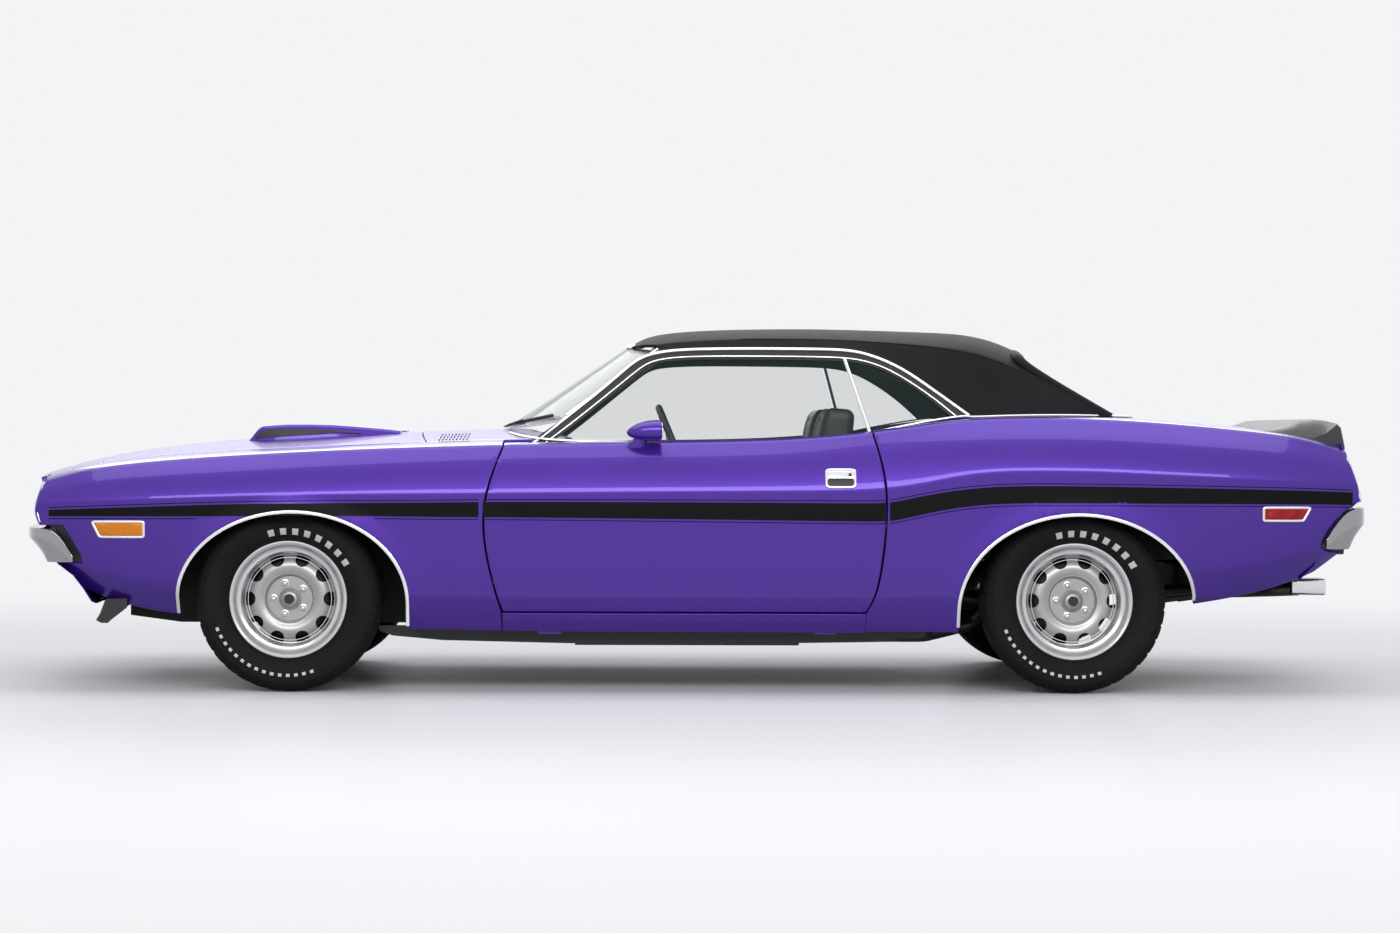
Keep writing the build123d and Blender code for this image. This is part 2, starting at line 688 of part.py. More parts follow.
# ---- Front and rear trim ------------------------------------------------------------------
# y, front_x, rear_x, shrink of the section's height
def bumper(rows, section):
    """A bumper lofted across the car: the section's (x share, z) at each row's place."""
    faces = []
    for y, outer_x, inner_x, drop in rows:
        outline = [(outer_x + (inner_x - outer_x) * share, z - drop) for share, z in section]
        faces.append(flat_face(Plane.XZ.offset(-y), outline))
    loft(faces, ruled=True)


FRONT_BUMPER = [
    (0, nose_x, -2330, 0),
    (430, nose_x + 12, -2320, 0),
    (800, nose_x + 62, -2262, 0),
    (872, -2325, -2200, 0),
]
front_section = [(0, 548), (0.12, 578), (0.6, 583), (1, 480), (1, 460), (0.6, 459), (0.3, 498), (0.05, 530)]
with BuildPart() as front_bumper:
    rows = [(-y, a, b, c) for y, a, b, c in reversed(FRONT_BUMPER[1:])] + FRONT_BUMPER
    bumper(rows, front_section)
    for y in (-350, 350):
        block(-2340, front_member_x - seat_gap, y - 22, y + 22, 458 + seat_gap, 520)
save(front_bumper, "bumper_front")

REAR_BUMPER = [
    (0, tail_x, 2372, 0),
    (430, tail_x - 5, 2368, 0),
    (780, tail_x - 24, 2352, 0),
    (880, 2340, 2262, 0),
]
rear_section = [(0, 612), (0.1, 664), (1, 664), (1, 522), (0.75, 520)]
with BuildPart() as rear_bumper:
    rows = [(-y, a, b, c) for y, a, b, c in reversed(REAR_BUMPER[1:])] + REAR_BUMPER
    bumper(rows, rear_section)
    side_cut([(x + 3, z) for x, z in TAIL_PROFILE] + [(2100, 500), (2100, 870)], -1000, 1000)
    with BuildPart(mode=Mode.PRIVATE) as brackets:
        for y in (-350, 350):
            block(2200, 2390, y - 22, y + 22, 580, 650)
        side_cut([(x + seat_gap, z) for x, z in TAIL_PROFILE] + [(2100, 500), (2100, 870)], -1000, 1000)
    add(brackets.part)
save(rear_bumper, "bumper_rear")

# Grille: a frame with cross bars, set back between the headlamps.
grille_x = -2262
grille_half = headlamp_y[0] - headlamp_radius - 12
with BuildPart() as grille:
    block(grille_x, grille_x + 18, -grille_half, grille_half, 590, 742)
    grille_pitch = 2 * grille_half / 11
    for i in range(-5, 6):
        y = i * grille_pitch
        half_opening = grille_pitch / 2 - 6
        for z in (600, 673):
            block(grille_x - 1, grille_x + 19, y - half_opening, y + half_opening, z, z + 59, Mode.SUBTRACT)
    block(grille_x - 28, grille_x, -12, 12, 590, 742)
    for y in (-300, 300):
        block(grille_x + 18, front_member_x - seat_gap, y - 10, y + 10, 655, 677)
save(grille, "grille")

with BuildPart() as headlamps:
    for side in (-1, 1):
        for y in headlamp_y:
            with Locations(Location((grille_x, side * y, headlamp_z), (0, 90, 0))):
                Cylinder(headlamp_radius, 70)
                Cylinder(headlamp_radius - 8, 110)
            block(grille_x + 32, front_member_x - seat_gap, side * (y - 25), side * (y + 25), 640, 690)
save(headlamps, "headlamps")

with BuildPart() as tail_lamps:
    for side in (-1, 1):
        y_from, y_to = sorted((side * 330, side * 780))
        side_cut([(2334.2, 815), (2362.8, 705), (2374, 705), (2349, 817)], y_from, y_to, Mode.ADD)
save(tail_lamps, "tail_lamps")

# Side marker lamps: one amber and one red on each side, a few millimetres proud.
with BuildPart() as markers:
    with BuildPart(mode=Mode.PRIVATE) as shapes:
        side_cut([(-2130, 598), (-1950, 599), (-1950, 553), (-2102, 553)], -1100, 1100, Mode.ADD)
        side_cut([(2005, 667), (2178, 668), (2157, 618), (2005, 618)], -1100, 1100, Mode.ADD)
    body_block(-2200, -1900, -marker_height)
    body_block(1950, 2230, -marker_height)
    add(shapes.part, mode=Mode.INTERSECT)
    with BuildPart(mode=Mode.PRIVATE) as under:
        body_block(-2250, -1850, -seat_gap)
        body_block(1900, 2280, -seat_gap)
    add(under.part, mode=Mode.SUBTRACT)
save(markers, "marker_lamps")

# Chin spoilers: two black corners under the nose.
with BuildPart() as chin:
    for side in (-1, 1):
        y_from, y_to = sorted((side * 520, side * 868))
        side_cut([(-2138, 314.7), (-2131, 253), (-2106, 246), (-2028, 305)], y_from, y_to, Mode.ADD)
save(chin, "chin_spoilers")

# ---- Cabin --------------------------------------------------------------------------------
DASH_SIDE = [(-640, 600), (-640, 837), (-560, 850), (-330, 860), (-300, 800), (-320, 660), (-480, 600)]
with BuildPart() as dash:
    side_cut(DASH_SIDE, -700, 700, Mode.ADD)
    for side in (-1, 1):
        y_from, y_to = sorted((side * 700, side * 778))
        block(-560, -500, y_from, y_to, 640, 700)
save(dash, "dashboard")

column_y = -370
column = Plane((-60, column_y, 845), x_dir=(0, 1, 0), z_dir=(0.927, 0, 0.375))
with BuildPart() as steering:
    with Locations(column):
        Torus(185, 13)
        Cylinder(45, 30)
        with PolarLocations(0, 3):
            Box(180, 26, 8, align=(Align.MIN, Align.CENTER, Align.CENTER))
        Cylinder(22, 300, align=(Align.CENTER, Align.CENTER, Align.MAX))
    side_cut(DASH_SIDE, -600, -200)
save(steering, "steering_wheel")

SEAT_BACK = [(400, 400), (430, 480), (470, 900), (500, 1000), (560, 1005), (580, 960), (540, 400)]
with BuildPart() as seats:
    for y in (-370, 370):
        side_cut([(20, 330), (0, 470), (30, 520), (440, 480), (510, 330)], y - 230, y + 230, Mode.ADD)
        side_cut(SEAT_BACK, y - 230, y + 230, Mode.ADD)
        for offset in (-180, 180):
            block(60, 480, y + offset - 15, y + offset + 15, floor_z + plate, 335)
save(seats, "front_seats")

with BuildPart() as bench:
    bench_z = trunk_floor_z + plate + seat_gap
    side_cut([(745, bench_z), (730, 580), (1040, 556), (1052, bench_z)], -590, 590, Mode.ADD)
    side_cut([(1053, bench_z), (1041, 580), (1200, 930), (1270, 930), (1150, bench_z)], -560, 560, Mode.ADD)
save(bench, "rear_seat")

# ---- Running gear -------------------------------------------------------------------------
engine_x = -1360
with BuildPart() as engine:
    block(engine_x - 330, engine_x + 330, -280, 280, 250, 800)
    block(engine_x + 330, -420, -105, 105, 200, 332)
    for side in (-1, 1):
        block(engine_x - 40, engine_x + 40, side * 280, side * (steer_inner_y - plate - seat_gap), 340, 380)
save(engine, "engine")

with BuildPart() as shaft:
    axle_y = rear_wheel_y - rim_half_width
    cross_cylinder(rear_x, wheel_z, 40, -axle_y - 30, axle_y + 30)
    cross_cylinder(rear_x, wheel_z, spindle_radius, -rear_wheel_y - 60, rear_wheel_y + 60)
    with Locations((rear_x, 0, wheel_z)):
        Sphere(125)
    with Locations(Location(((rear_x - 420) / 2, 0, 290), (0, 90, 0))):
        Cylinder(36, rear_x + 420 - 0.6)
    for y in (-545, 545):
        block(rear_x - 30, rear_x + 30, y - 32, y + 32, 270, 385)
        leaf = [(830, 340), (rear_x, 262), (2005, 350)]
        side_cut(leaf + [(x, z + 14) for x, z in reversed(leaf)], y - 30, y + 30, Mode.ADD)
        block(820, 850, y - 25, y + 25, 335, trunk_floor_z - seat_gap)
        block(1985, 2010, y - 25, y + 25, 345, trunk_floor_z - seat_gap)
save(shaft, "rear_axle")

# Exhaust: a silencer under each sill, and a pipe that climbs over the axle to a square tip.
pipe_radius = 26
silencer_y = 640
over_axle_y = 460
over_axle_z = 418
tip_y = 600
tip_z = 374
PIPE_ROUTE = [
    (-770, silencer_y, 196),
    (830, silencer_y, 196),
    (1010, over_axle_y, 225),
    (1190, over_axle_y, over_axle_z),
    (1500, over_axle_y, over_axle_z),
    (1690, over_axle_y, 345),
    (2010, over_axle_y, 352),
    (2120, tip_y - 20, 362),
    (2200, tip_y, 366),
]
with BuildPart() as exhaust:
    with BuildLine():
        FilletPolyline(*PIPE_ROUTE, radius=55)
    with BuildSketch(Plane(PIPE_ROUTE[0], z_dir=(1, 0, 0))):
        Circle(pipe_radius)
    sweep()
    block(-430, 373, silencer_y - 95, silencer_y + 95, 162, floor_z - seat_gap)
    block(2165, 2285, tip_y - 52, tip_y + 52, tip_z - 28, tip_z + 28)
    block(2190, 2290, tip_y - 46, tip_y + 46, tip_z - 22, tip_z + 22, Mode.SUBTRACT)
    mirror(about=Plane.XZ)
save(exhaust, "exhaust")

with BuildPart() as tank:
    block(1780, 2100, -400, 400, 240, trunk_floor_z - seat_gap)
save(tank, "fuel_tank")

# ---- Front suspension and steering --------------------------------------------------------
with BuildPart() as suspension:
    block(front_x - 60, front_x + 60, -480, 480, 165, floor_z - seat_gap)
    for side in (-1, 1):
        post_y = steer_inner_y + seat_gap
        block(front_x - 60, front_x + 60, side * post_y, side * 480, 165, arm_z_high + 15)
        for z in (arm_z_low, arm_z_high):
            arm = [(-60, 479), (60, 479), (eye_radius - 1, kingpin_y), (1 - eye_radius, kingpin_y)]
            plan_cut([(front_x + x, side * y) for x, y in arm], z - 10, z + 10, Mode.ADD)
            with Locations((front_x, side * kingpin_y, z)):
                Cylinder(eye_radius, 20)
                Cylinder(kingpin_radius + pin_gap, 60, mode=Mode.SUBTRACT)
save(suspension, "front_suspension")

with BuildPart() as knuckle:
    y_king = -kingpin_y
    with Locations((front_x, y_king, (arm_z_low + arm_z_high) / 2)):
        Cylinder(kingpin_radius, arm_z_high - arm_z_low + 24)
        Box(50, 40, arm_z_high - arm_z_low - 32)
    cross_cylinder(front_x, wheel_z, spindle_radius, -front_wheel_y - 60, y_king)
save_pair(knuckle, "knuckle")


# ---- Wheels -------------------------------------------------------------------------------
def wheel_pair(name, x, centre_y):
    """A rim with its disc, hub and drum, and its tyre, on the left and on the right."""
    wheel_plane = Plane((x, 0, 0), x_dir=(0, -1, 0), z_dir=(-1, 0, 0))
    face_out = centre_y + rim_half_width
    face_in = centre_y - rim_half_width
    disc = face_out - disc_inset
    with BuildPart() as rim:
        with BuildSketch(wheel_plane):
            with BuildLine():
                Polyline(
                    (face_in, wheel_z + rim_radius),
                    (face_in + 8, wheel_z + rim_radius),
                    (face_in + 8, wheel_z + bead_radius),
                    (face_out - 8, wheel_z + bead_radius),
                    (face_out - 8, wheel_z + rim_radius),
                    (face_out, wheel_z + rim_radius),
                    (face_out, wheel_z + bead_radius - rim_wall),
                    (face_out - 25, wheel_z + bead_radius - rim_wall),
                    (disc + 6, wheel_z + 165),
                    (disc + 6, wheel_z + 95),
                    (disc - 6, wheel_z + 80),
                    (disc - 6, wheel_z + 40),
                    (centre_y + 60, wheel_z + 36),
                    (centre_y + 66, wheel_z + spindle_radius + running_clearance),
                    (disc - 72, wheel_z + spindle_radius + running_clearance),
                    (disc - 72, wheel_z + drum_radius),
                    (disc - 30, wheel_z + drum_radius),
                    (disc - 16, wheel_z + 90),
                    (disc - 4, wheel_z + 100),
                    (disc - 4, wheel_z + bead_radius - rim_wall),
                    (face_in, wheel_z + bead_radius - rim_wall),
                    close=True,
                )
            make_face()
        revolve(axis=Axis((x, 0, wheel_z), (0, 1, 0)))
        with Locations(Location((x, -(disc + 1), wheel_z), (90, 0, 0))):
            with PolarLocations(hole_circle, hole_count):
                Cylinder(hole_radius, 60, mode=Mode.SUBTRACT)
    save_pair(rim, f"wheel_{name}")
    with BuildPart() as tyre:
        half = tyre_width / 2
        outer = [
            (rim_half_width - 8.3, bead_radius + seat_gap),
            (rim_half_width - 8.3, rim_radius + 2),
            (half - 10, rim_radius + 12),
            (half, rim_radius + 52),
            (half - 6, tyre_radius - 28),
            (half - 24, tyre_radius - 6),
            (half - 50, tyre_radius),
        ]
        inner = [(half - 55, tyre_radius - 18), (half - 16, tyre_radius - 45), (60, bead_radius + seat_gap)]
        with BuildSketch(wheel_plane):
            with BuildLine():
                right_side = [(centre_y + a, wheel_z + r) for a, r in outer]
                left_side = [(centre_y - a, wheel_z + r) for a, r in outer]
                right_inner = [(centre_y + a, wheel_z + r) for a, r in inner]
                left_inner = [(centre_y - a, wheel_z + r) for a, r in inner]
                Polyline(right_side + left_side[::-1] + left_inner[::-1] + right_inner, close=True)
            make_face()
        revolve(axis=Axis((x, 0, wheel_z), (0, 1, 0)))
    save_pair(tyre, f"tyre_{name}")


wheel_pair("front", front_x, front_wheel_y)
wheel_pair("rear", rear_x, rear_wheel_y)
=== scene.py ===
import math

import bmesh
import bpy
import numpy as np
from mathutils import Matrix, Vector


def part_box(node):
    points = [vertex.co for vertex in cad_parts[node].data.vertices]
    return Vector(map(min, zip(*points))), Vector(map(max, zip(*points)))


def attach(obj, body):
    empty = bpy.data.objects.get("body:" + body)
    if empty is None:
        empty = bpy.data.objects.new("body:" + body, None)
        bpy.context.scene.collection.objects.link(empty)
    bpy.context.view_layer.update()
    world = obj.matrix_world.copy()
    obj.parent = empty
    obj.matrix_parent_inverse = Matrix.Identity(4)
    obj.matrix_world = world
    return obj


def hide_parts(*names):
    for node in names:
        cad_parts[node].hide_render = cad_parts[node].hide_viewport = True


# Two-door hardtop muscle car, in metres. -X is forward, -Y is the driver's left, +Z is up, and
# the ground is at z = 0. The script follows the car as it is put together.
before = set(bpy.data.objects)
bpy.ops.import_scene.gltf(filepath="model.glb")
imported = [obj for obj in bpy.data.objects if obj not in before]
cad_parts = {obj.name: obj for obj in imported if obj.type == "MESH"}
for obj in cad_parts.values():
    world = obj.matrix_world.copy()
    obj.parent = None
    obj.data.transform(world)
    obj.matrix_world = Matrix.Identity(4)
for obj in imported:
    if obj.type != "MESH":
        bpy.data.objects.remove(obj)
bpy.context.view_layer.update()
bpy.ops.object.select_all(action="DESELECT")


# ---- Finishes ------------------------------------------------------------------------------
# Every finish is a shader made of nodes. Wire lets a socket take part in plain arithmetic, and
# Finish is one material, whose node() adds any other node with its settings and inputs.
class Wire:
    def __init__(self, tree, socket):
        self.tree, self.socket = tree, socket

    def math(self, operation, first, second):
        node = self.tree.nodes.new("ShaderNodeMath")
        node.operation = operation
        for place, value in zip(node.inputs, (first, second)):
            if isinstance(value, Wire):
                self.tree.links.new(value.socket, place)
            elif value is not None:
                place.default_value = value
        return Wire(self.tree, node.outputs[0])

    def __add__(self, other):
        return self.math("ADD", self, other)

    def __mul__(self, other):
        return self.math("MULTIPLY", self, other)

    def wave(self):
        return self.math("SINE", self, None)

    def size(self):
        return self.math("ABSOLUTE", self, None)

    __radd__, __rmul__ = __add__, __mul__


class Finish:
    def __init__(self, name, **surface):
        self.material = bpy.data.materials.new(name)
        self.material.use_nodes = True
        self.tree = self.material.node_tree
        self.shader = self.tree.nodes["Principled BSDF"]
        for key, value in surface.items():
            self.set(key.replace("_", " "), value)

    def set(self, socket_name, value):
        """Puts a plain value or a wire on one of the shader's sockets."""
        socket = self.shader.inputs[socket_name]
        if isinstance(value, Wire):
            self.tree.links.new(value.socket, socket)
        else:
            socket.default_value = (*value, 1) if isinstance(value, tuple) and len(value) == 3 else value

    def node(self, kind, output=0, settings=None, **inputs):
        """Adds a node with its settings and the values or wires of its inputs."""
        node = self.tree.nodes.new("ShaderNode" + kind)
        for key, value in (settings or {}).items():
            setattr(node, key, value)
        for key, value in inputs.items():
            place = node.inputs[int(key[1:])] if key[0] == "i" and key[1:].isdigit() else node.inputs[key]
            if isinstance(value, Wire):
                self.tree.links.new(value.socket, place)
            else:
                place.default_value = value
        return Wire(self.tree, node.outputs[output])

    def place(self, axis=None):
        """The point being shaded on the piece's own axes, or one of its three coordinates."""
        point = self.node("TexCoord", output=3)
        if axis is None:
            return point
        return self.node("SeparateXYZ", output="XYZ".index(axis), Vector=point)

    def noise(self, scale, detail=2.0, rough=0.5, stretch=None):
        """A smooth random pattern from 0 to 1, with its size set by scale, in waves a metre."""
        point = self.place()
        if stretch:
            point = self.node("Mapping", Vector=point, Scale=stretch)
        return self.node("TexNoise", Vector=point, Scale=scale, Detail=detail, Roughness=rough)

    def blend(self, share, first, second):
        """Mixes two colours by a wire."""
        mix = self.tree.nodes.new("ShaderNodeMix")
        mix.data_type = "RGBA"
        self.tree.links.new(share.socket, mix.inputs[0])
        for place, value in zip((mix.inputs[6], mix.inputs[7]), (first, second)):
            if isinstance(value, Wire):
                self.tree.links.new(value.socket, place)
            else:
                place.default_value = (*value, 1)
        return Wire(self.tree, mix.outputs[2])

    def bump(self, height, strength, depth):
        """Sends a height pattern to the shader's normal. depth is in metres."""
        self.set("Normal", self.node("Bump", Height=height, Strength=strength, Distance=depth))


def fit(piece, finish, slot_name, body, *nodes):
    """Gives a finished piece its material, the body it rides on and what it stands for; its slot name is
    not used.
    """
    piece.data.materials.clear()
    piece.data.materials.append(finish.material)
    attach(piece, body)
    if nodes:
        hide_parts(*nodes)
    return piece


# ---- Studio --------------------------------------------------------------------------------
# A pale glossy floor, a white surround, one wide light overhead and softer ones at the sides.
# The floor fades into the surround far from the car, so that no edge shows.
camera_data = bpy.data.cameras.new("camera")
camera_data.sensor_width = 36
camera_data.lens = 85.8
camera = bpy.data.objects.new("camera", camera_data)
bpy.context.scene.collection.objects.link(camera)
camera_turn, camera_tilt, camera_roll = math.radians(-1.22), math.radians(90 - 0.567), math.radians(0.22)
camera.matrix_world = (
    Matrix.Translation((-0.239, -12.7, 0.922))
    @ Matrix.Rotation(camera_turn, 4, "Z")
    @ Matrix.Rotation(camera_tilt, 4, "X")
    @ Matrix.Rotation(camera_roll, 4, "Z")
)
bpy.context.scene.camera = camera
bpy.context.scene.view_settings.view_transform = "Standard"

surround_colour = (0.895, 0.902, 0.922)
floor_half = 40
bpy.ops.mesh.primitive_plane_add(size=2 * floor_half)
floor = bpy.context.object
floor.name = "studio_floor"
floor_finish = Finish("studio_floor", Base_Color=(0.80, 0.805, 0.83), Roughness=0.6, IOR=1.3)
gloss = floor_finish.node("BsdfGlossy", Roughness=0.14, Color=(0.9, 0.9, 0.93, 1))
ripple = floor_finish.noise(2.2, detail=1, stretch=(1.0, 0.35, 1.0))
floor_finish.tree.links.new(
    floor_finish.node("Bump", Height=ripple, Strength=0.05, Distance=0.02).socket,
    floor_finish.tree.nodes["Glossy BSDF"].inputs["Normal"],
)
shine = floor_finish.tree.nodes.new("ShaderNodeMixShader")
shine.inputs[0].default_value = 0.06
floor_finish.tree.links.new(floor_finish.shader.outputs[0], shine.inputs[1])
floor_finish.tree.links.new(gloss.socket, shine.inputs[2])
far_off = floor_finish.node(
    "VectorMath", output=1, settings={"operation": "LENGTH"}, i0=floor_finish.place()
)
fade = floor_finish.node(
    "MapRange", settings={"interpolation_type": "SMOOTHSTEP"}, i0=far_off, i1=1.2, i2=7.5
)
backdrop = floor_finish.node("Emission", Color=(*surround_colour, 1), Strength=1.0)
horizon = floor_finish.tree.nodes.new("ShaderNodeMixShader")
floor_finish.tree.links.new(fade.socket, horizon.inputs[0])
floor_finish.tree.links.new(shine.outputs[0], horizon.inputs[1])
floor_finish.tree.links.new(backdrop.socket, horizon.inputs[2])


def seen_rays(tree):
    """1 for the rays that show something: from the camera, mirrored by metal or let through glass."""
    ray = tree.nodes.new("ShaderNodeLightPath")
    seen = Wire(tree, ray.outputs["Is Camera Ray"])
    for other_ray in ("Is Glossy Ray", "Is Transmission Ray"):
        seen = seen.math("MAXIMUM", seen, Wire(tree, ray.outputs[other_ray]))
    return seen


# only those rays meet the pale floor, so it throws little light back at the car
dark_floor = floor_finish.tree.nodes.new("ShaderNodeBsdfDiffuse")
dark_floor.inputs["Color"].default_value = (0.20, 0.20, 0.215, 1)
seen_floor = floor_finish.tree.nodes.new("ShaderNodeMixShader")
floor_finish.tree.links.new(seen_rays(floor_finish.tree).socket, seen_floor.inputs[0])
floor_finish.tree.links.new(dark_floor.outputs[0], seen_floor.inputs[1])
floor_finish.tree.links.new(horizon.outputs[0], seen_floor.inputs[2])
floor_finish.tree.links.new(seen_floor.outputs[0], floor_finish.tree.nodes["Material Output"].inputs[0])
floor.data.materials.append(floor_finish.material)

world = bpy.data.worlds.new("studio")
bpy.context.scene.world = world
world.use_nodes = True
level = world.node_tree.nodes.new("ShaderNodeMapRange")
level.inputs["To Min"].default_value = 0.36
level.inputs["To Max"].default_value = 1.0
world.node_tree.links.new(seen_rays(world.node_tree).socket, level.inputs[0])
world.node_tree.links.new(level.outputs[0], world.node_tree.nodes["Background"].inputs["Strength"])
world.node_tree.nodes["Background"].inputs["Color"].default_value = (*surround_colour, 1)

# name, width, depth, place, point it faces, power
LIGHTS = [
    ("overhead", 7.5, 3.2, (0, -0.4, 4.6), (0, -0.2, 0), 120),
    ("near_side", 8.0, 2.0, (0, -6.5, 3.2), (0, 0, 0.7), 275),
    ("far_side", 8.0, 2.2, (0, 6.5, 3.6), (0, 0, 0.7), 150),
]
for name, width, depth, spot, target, power in LIGHTS:
    lamp = bpy.data.lights.new(name, "AREA")
    lamp.shape, lamp.size, lamp.size_y, lamp.energy = "RECTANGLE", width, depth, power
    holder = bpy.data.objects.new(name, lamp)
    bpy.context.scene.collection.objects.link(holder)
    holder.location = spot
    holder.rotation_euler = (Vector(target) - Vector(spot)).to_track_quat("-Z", "Y").to_euler()

# ---- Body skin -----------------------------------------------------------------------------
# Pressed steel panels with a metallic purple clear-coated paint. All of them lie on one smooth
# skin, drawn through the lines that run the length of the body. Each panel is a sheet of that
# skin, trimmed to its own outline and hemmed along its edges.
nose_x, tail_x = -2.4295, 2.4295
front_axle_x, rear_axle_x = -1.4455, 1.3485
gap = 0.006
hem_radius = 0.003

# x, centre z, hood edge y, z, fender ridge y, z, half width, its height, sill z
BODY_LINES = np.array([
    (-2.420, 0.765, 0.690, 0.735, 0.800, 0.712, 0.850, 0.665, 0.500),
    (-2.310, 0.803, 0.705, 0.764, 0.812, 0.743, 0.868, 0.668, 0.440),
    (-2.190, 0.833, 0.715, 0.797, 0.822, 0.778, 0.886, 0.674, 0.372),
    (-2.050, 0.860, 0.720, 0.817, 0.831, 0.801, 0.904, 0.680, 0.312),
    (-1.830, 0.889, 0.722, 0.838, 0.840, 0.823, 0.925, 0.688, 0.270),
    (-1.600, 0.905, 0.722, 0.852, 0.845, 0.839, 0.935, 0.696, 0.248),
    (-1.300, 0.920, 0.722, 0.868, 0.850, 0.856, 0.942, 0.703, 0.234),
    (-1.000, 0.930, 0.722, 0.881, 0.852, 0.868, 0.944, 0.706, 0.226),
    (-0.690, 0.944, 0.722, 0.893, 0.852, 0.877, 0.945, 0.709, 0.220),
    (-0.300, 0.944, 0.750, 0.900, 0.851, 0.885, 0.945, 0.714, 0.218),
    (0.300, 0.944, 0.770, 0.904, 0.850, 0.892, 0.946, 0.720, 0.217),
    (0.640, 0.958, 0.780, 0.936, 0.847, 0.926, 0.950, 0.722, 0.217),
    (0.820, 0.972, 0.785, 0.962, 0.846, 0.955, 0.956, 0.752, 0.217),
    (0.980, 0.986, 0.783, 0.982, 0.845, 0.976, 0.962, 0.790, 0.220),
    (1.200, 0.994, 0.770, 0.988, 0.847, 0.981, 0.966, 0.797, 0.240),
    (1.450, 0.998, 0.752, 0.988, 0.848, 0.978, 0.965, 0.793, 0.277),
    (1.700, 0.988, 0.738, 0.971, 0.844, 0.962, 0.958, 0.781, 0.311),
    (1.950, 0.967, 0.727, 0.948, 0.837, 0.940, 0.943, 0.770, 0.350),
    (2.150, 0.946, 0.718, 0.928, 0.828, 0.917, 0.920, 0.760, 0.405),
    (2.300, 0.919, 0.706, 0.895, 0.816, 0.872, 0.893, 0.750, 0.480),
    (2.420, 0.880, 0.700, 0.850, 0.800, 0.828, 0.868, 0.742, 0.560),
])
# Between ridge and half width: share of the width gained, share of the height lost
SHOULDER = [(0.10, 0.08), (0.34, 0.24), (0.62, 0.45), (0.84, 0.72), (0.965, 0.92)]
# Between half width and sill: share of the height lost, how far the skin turns in
FLANK = [
    (0.03, 0.0012), (0.12, 0.003), (0.3, 0.0065), (0.52, 0.0125), (0.67, 0.020), (0.735, 0.0255),
    (0.765, 0.031), (0.88, 0.055), (1.0, 0.088)
]


def section(station):
    """The half section at a station, from the centre line over the ridge down to the sill."""
    _, centre_z, edge_y, edge_z, ridge_y, ridge_z, wide_y, wide_z, sill_z = station
    points = [(0, centre_z), (0.5 * edge_y, centre_z - 0.25 * (centre_z - edge_z)), (edge_y, edge_z)]
    for share in (0.5, 0.85):
        points.append((edge_y + share * (ridge_y - edge_y), edge_z + share**2 * (ridge_z - edge_z)))
    points.append((ridge_y, ridge_z))
    points += [
        (ridge_y + out * (wide_y - ridge_y), ridge_z + down * (wide_z - ridge_z)) for out, down in SHOULDER
    ]
    points.append((wide_y, wide_z))
    points += [(wide_y - turned, wide_z + down * (sill_z - wide_z)) for down, turned in FLANK]
    return points


half = np.array([section(station) for station in BODY_LINES])
other_half = half[:, :0:-1] * (-1, 1)
BODY_NET = np.concatenate([other_half, half], axis=1)
centre_line = half.shape[1] - 1
EDGE, WIDE, SILL = 2, 11, centre_line


def smooth(column, where, axis=0):
    """Reads a column of values as a smooth curve: a cubic B-spline that ends on its end values."""
    column = np.moveaxis(np.asarray(column, float), axis, 0)
    padded = np.concatenate([2 * column[:1] - column[1:2], column, 2 * column[-1:] - column[-2:-1]])
    where = np.asarray(where, float)
    start = np.clip(np.floor(where).astype(int), 0, len(column) - 2)
    t = (where - start).reshape(-1, *[1] * (column.ndim - 1))
    weights = ((1 - t) ** 3, 3 * t**3 - 6 * t**2 + 4, -3 * t**3 + 3 * t**2 + 3 * t + 1, t**3)
    return np.moveaxis(sum(w / 6 * padded[start + k] for k, w in enumerate(weights)), 0, axis)


fine = np.linspace(0, len(BODY_LINES) - 1, 1500)
fine_x = smooth(BODY_LINES[:, 0], fine)
# arch centre x and z, half width, height
FRONT_ARCH = (front_axle_x + 0.020, 0.322, 0.405, 0.317)
REAR_ARCH = (rear_axle_x + 0.004, 0.300, 0.420, 0.338)
flare_reach, flare_height = 0.075, 0.009


def skin(xs, across):
    """Points of the body skin at the given x, and at line numbers counted from the centre line."""
    rows = smooth(BODY_NET, np.interp(xs, fine_x, fine))
    points = smooth(rows, np.asarray(across) + centre_line, axis=1)
    points = np.concatenate(
        [np.broadcast_to(np.reshape(xs, (-1, 1, 1)), (*points.shape[:2], 1)), points], axis=2
    )
    for arch_x, arch_z, half_width, height in (FRONT_ARCH, REAR_ARCH):
        low = np.minimum(points[..., 2], arch_z + 1e-9) - arch_z
        reach = np.hypot((points[..., 0] - arch_x) / half_width, (points[..., 2] - arch_z - low) / height)
        beyond = np.clip((reach - 1) * 0.36 / flare_reach, 0, 1)
        lift = flare_height * (1 - beyond**2 * (3 - 2 * beyond))
        side = np.abs(points[..., 1]) > 0.87
        points[..., 1] += np.where(side, np.sign(points[..., 1]) * lift, 0)
    return points


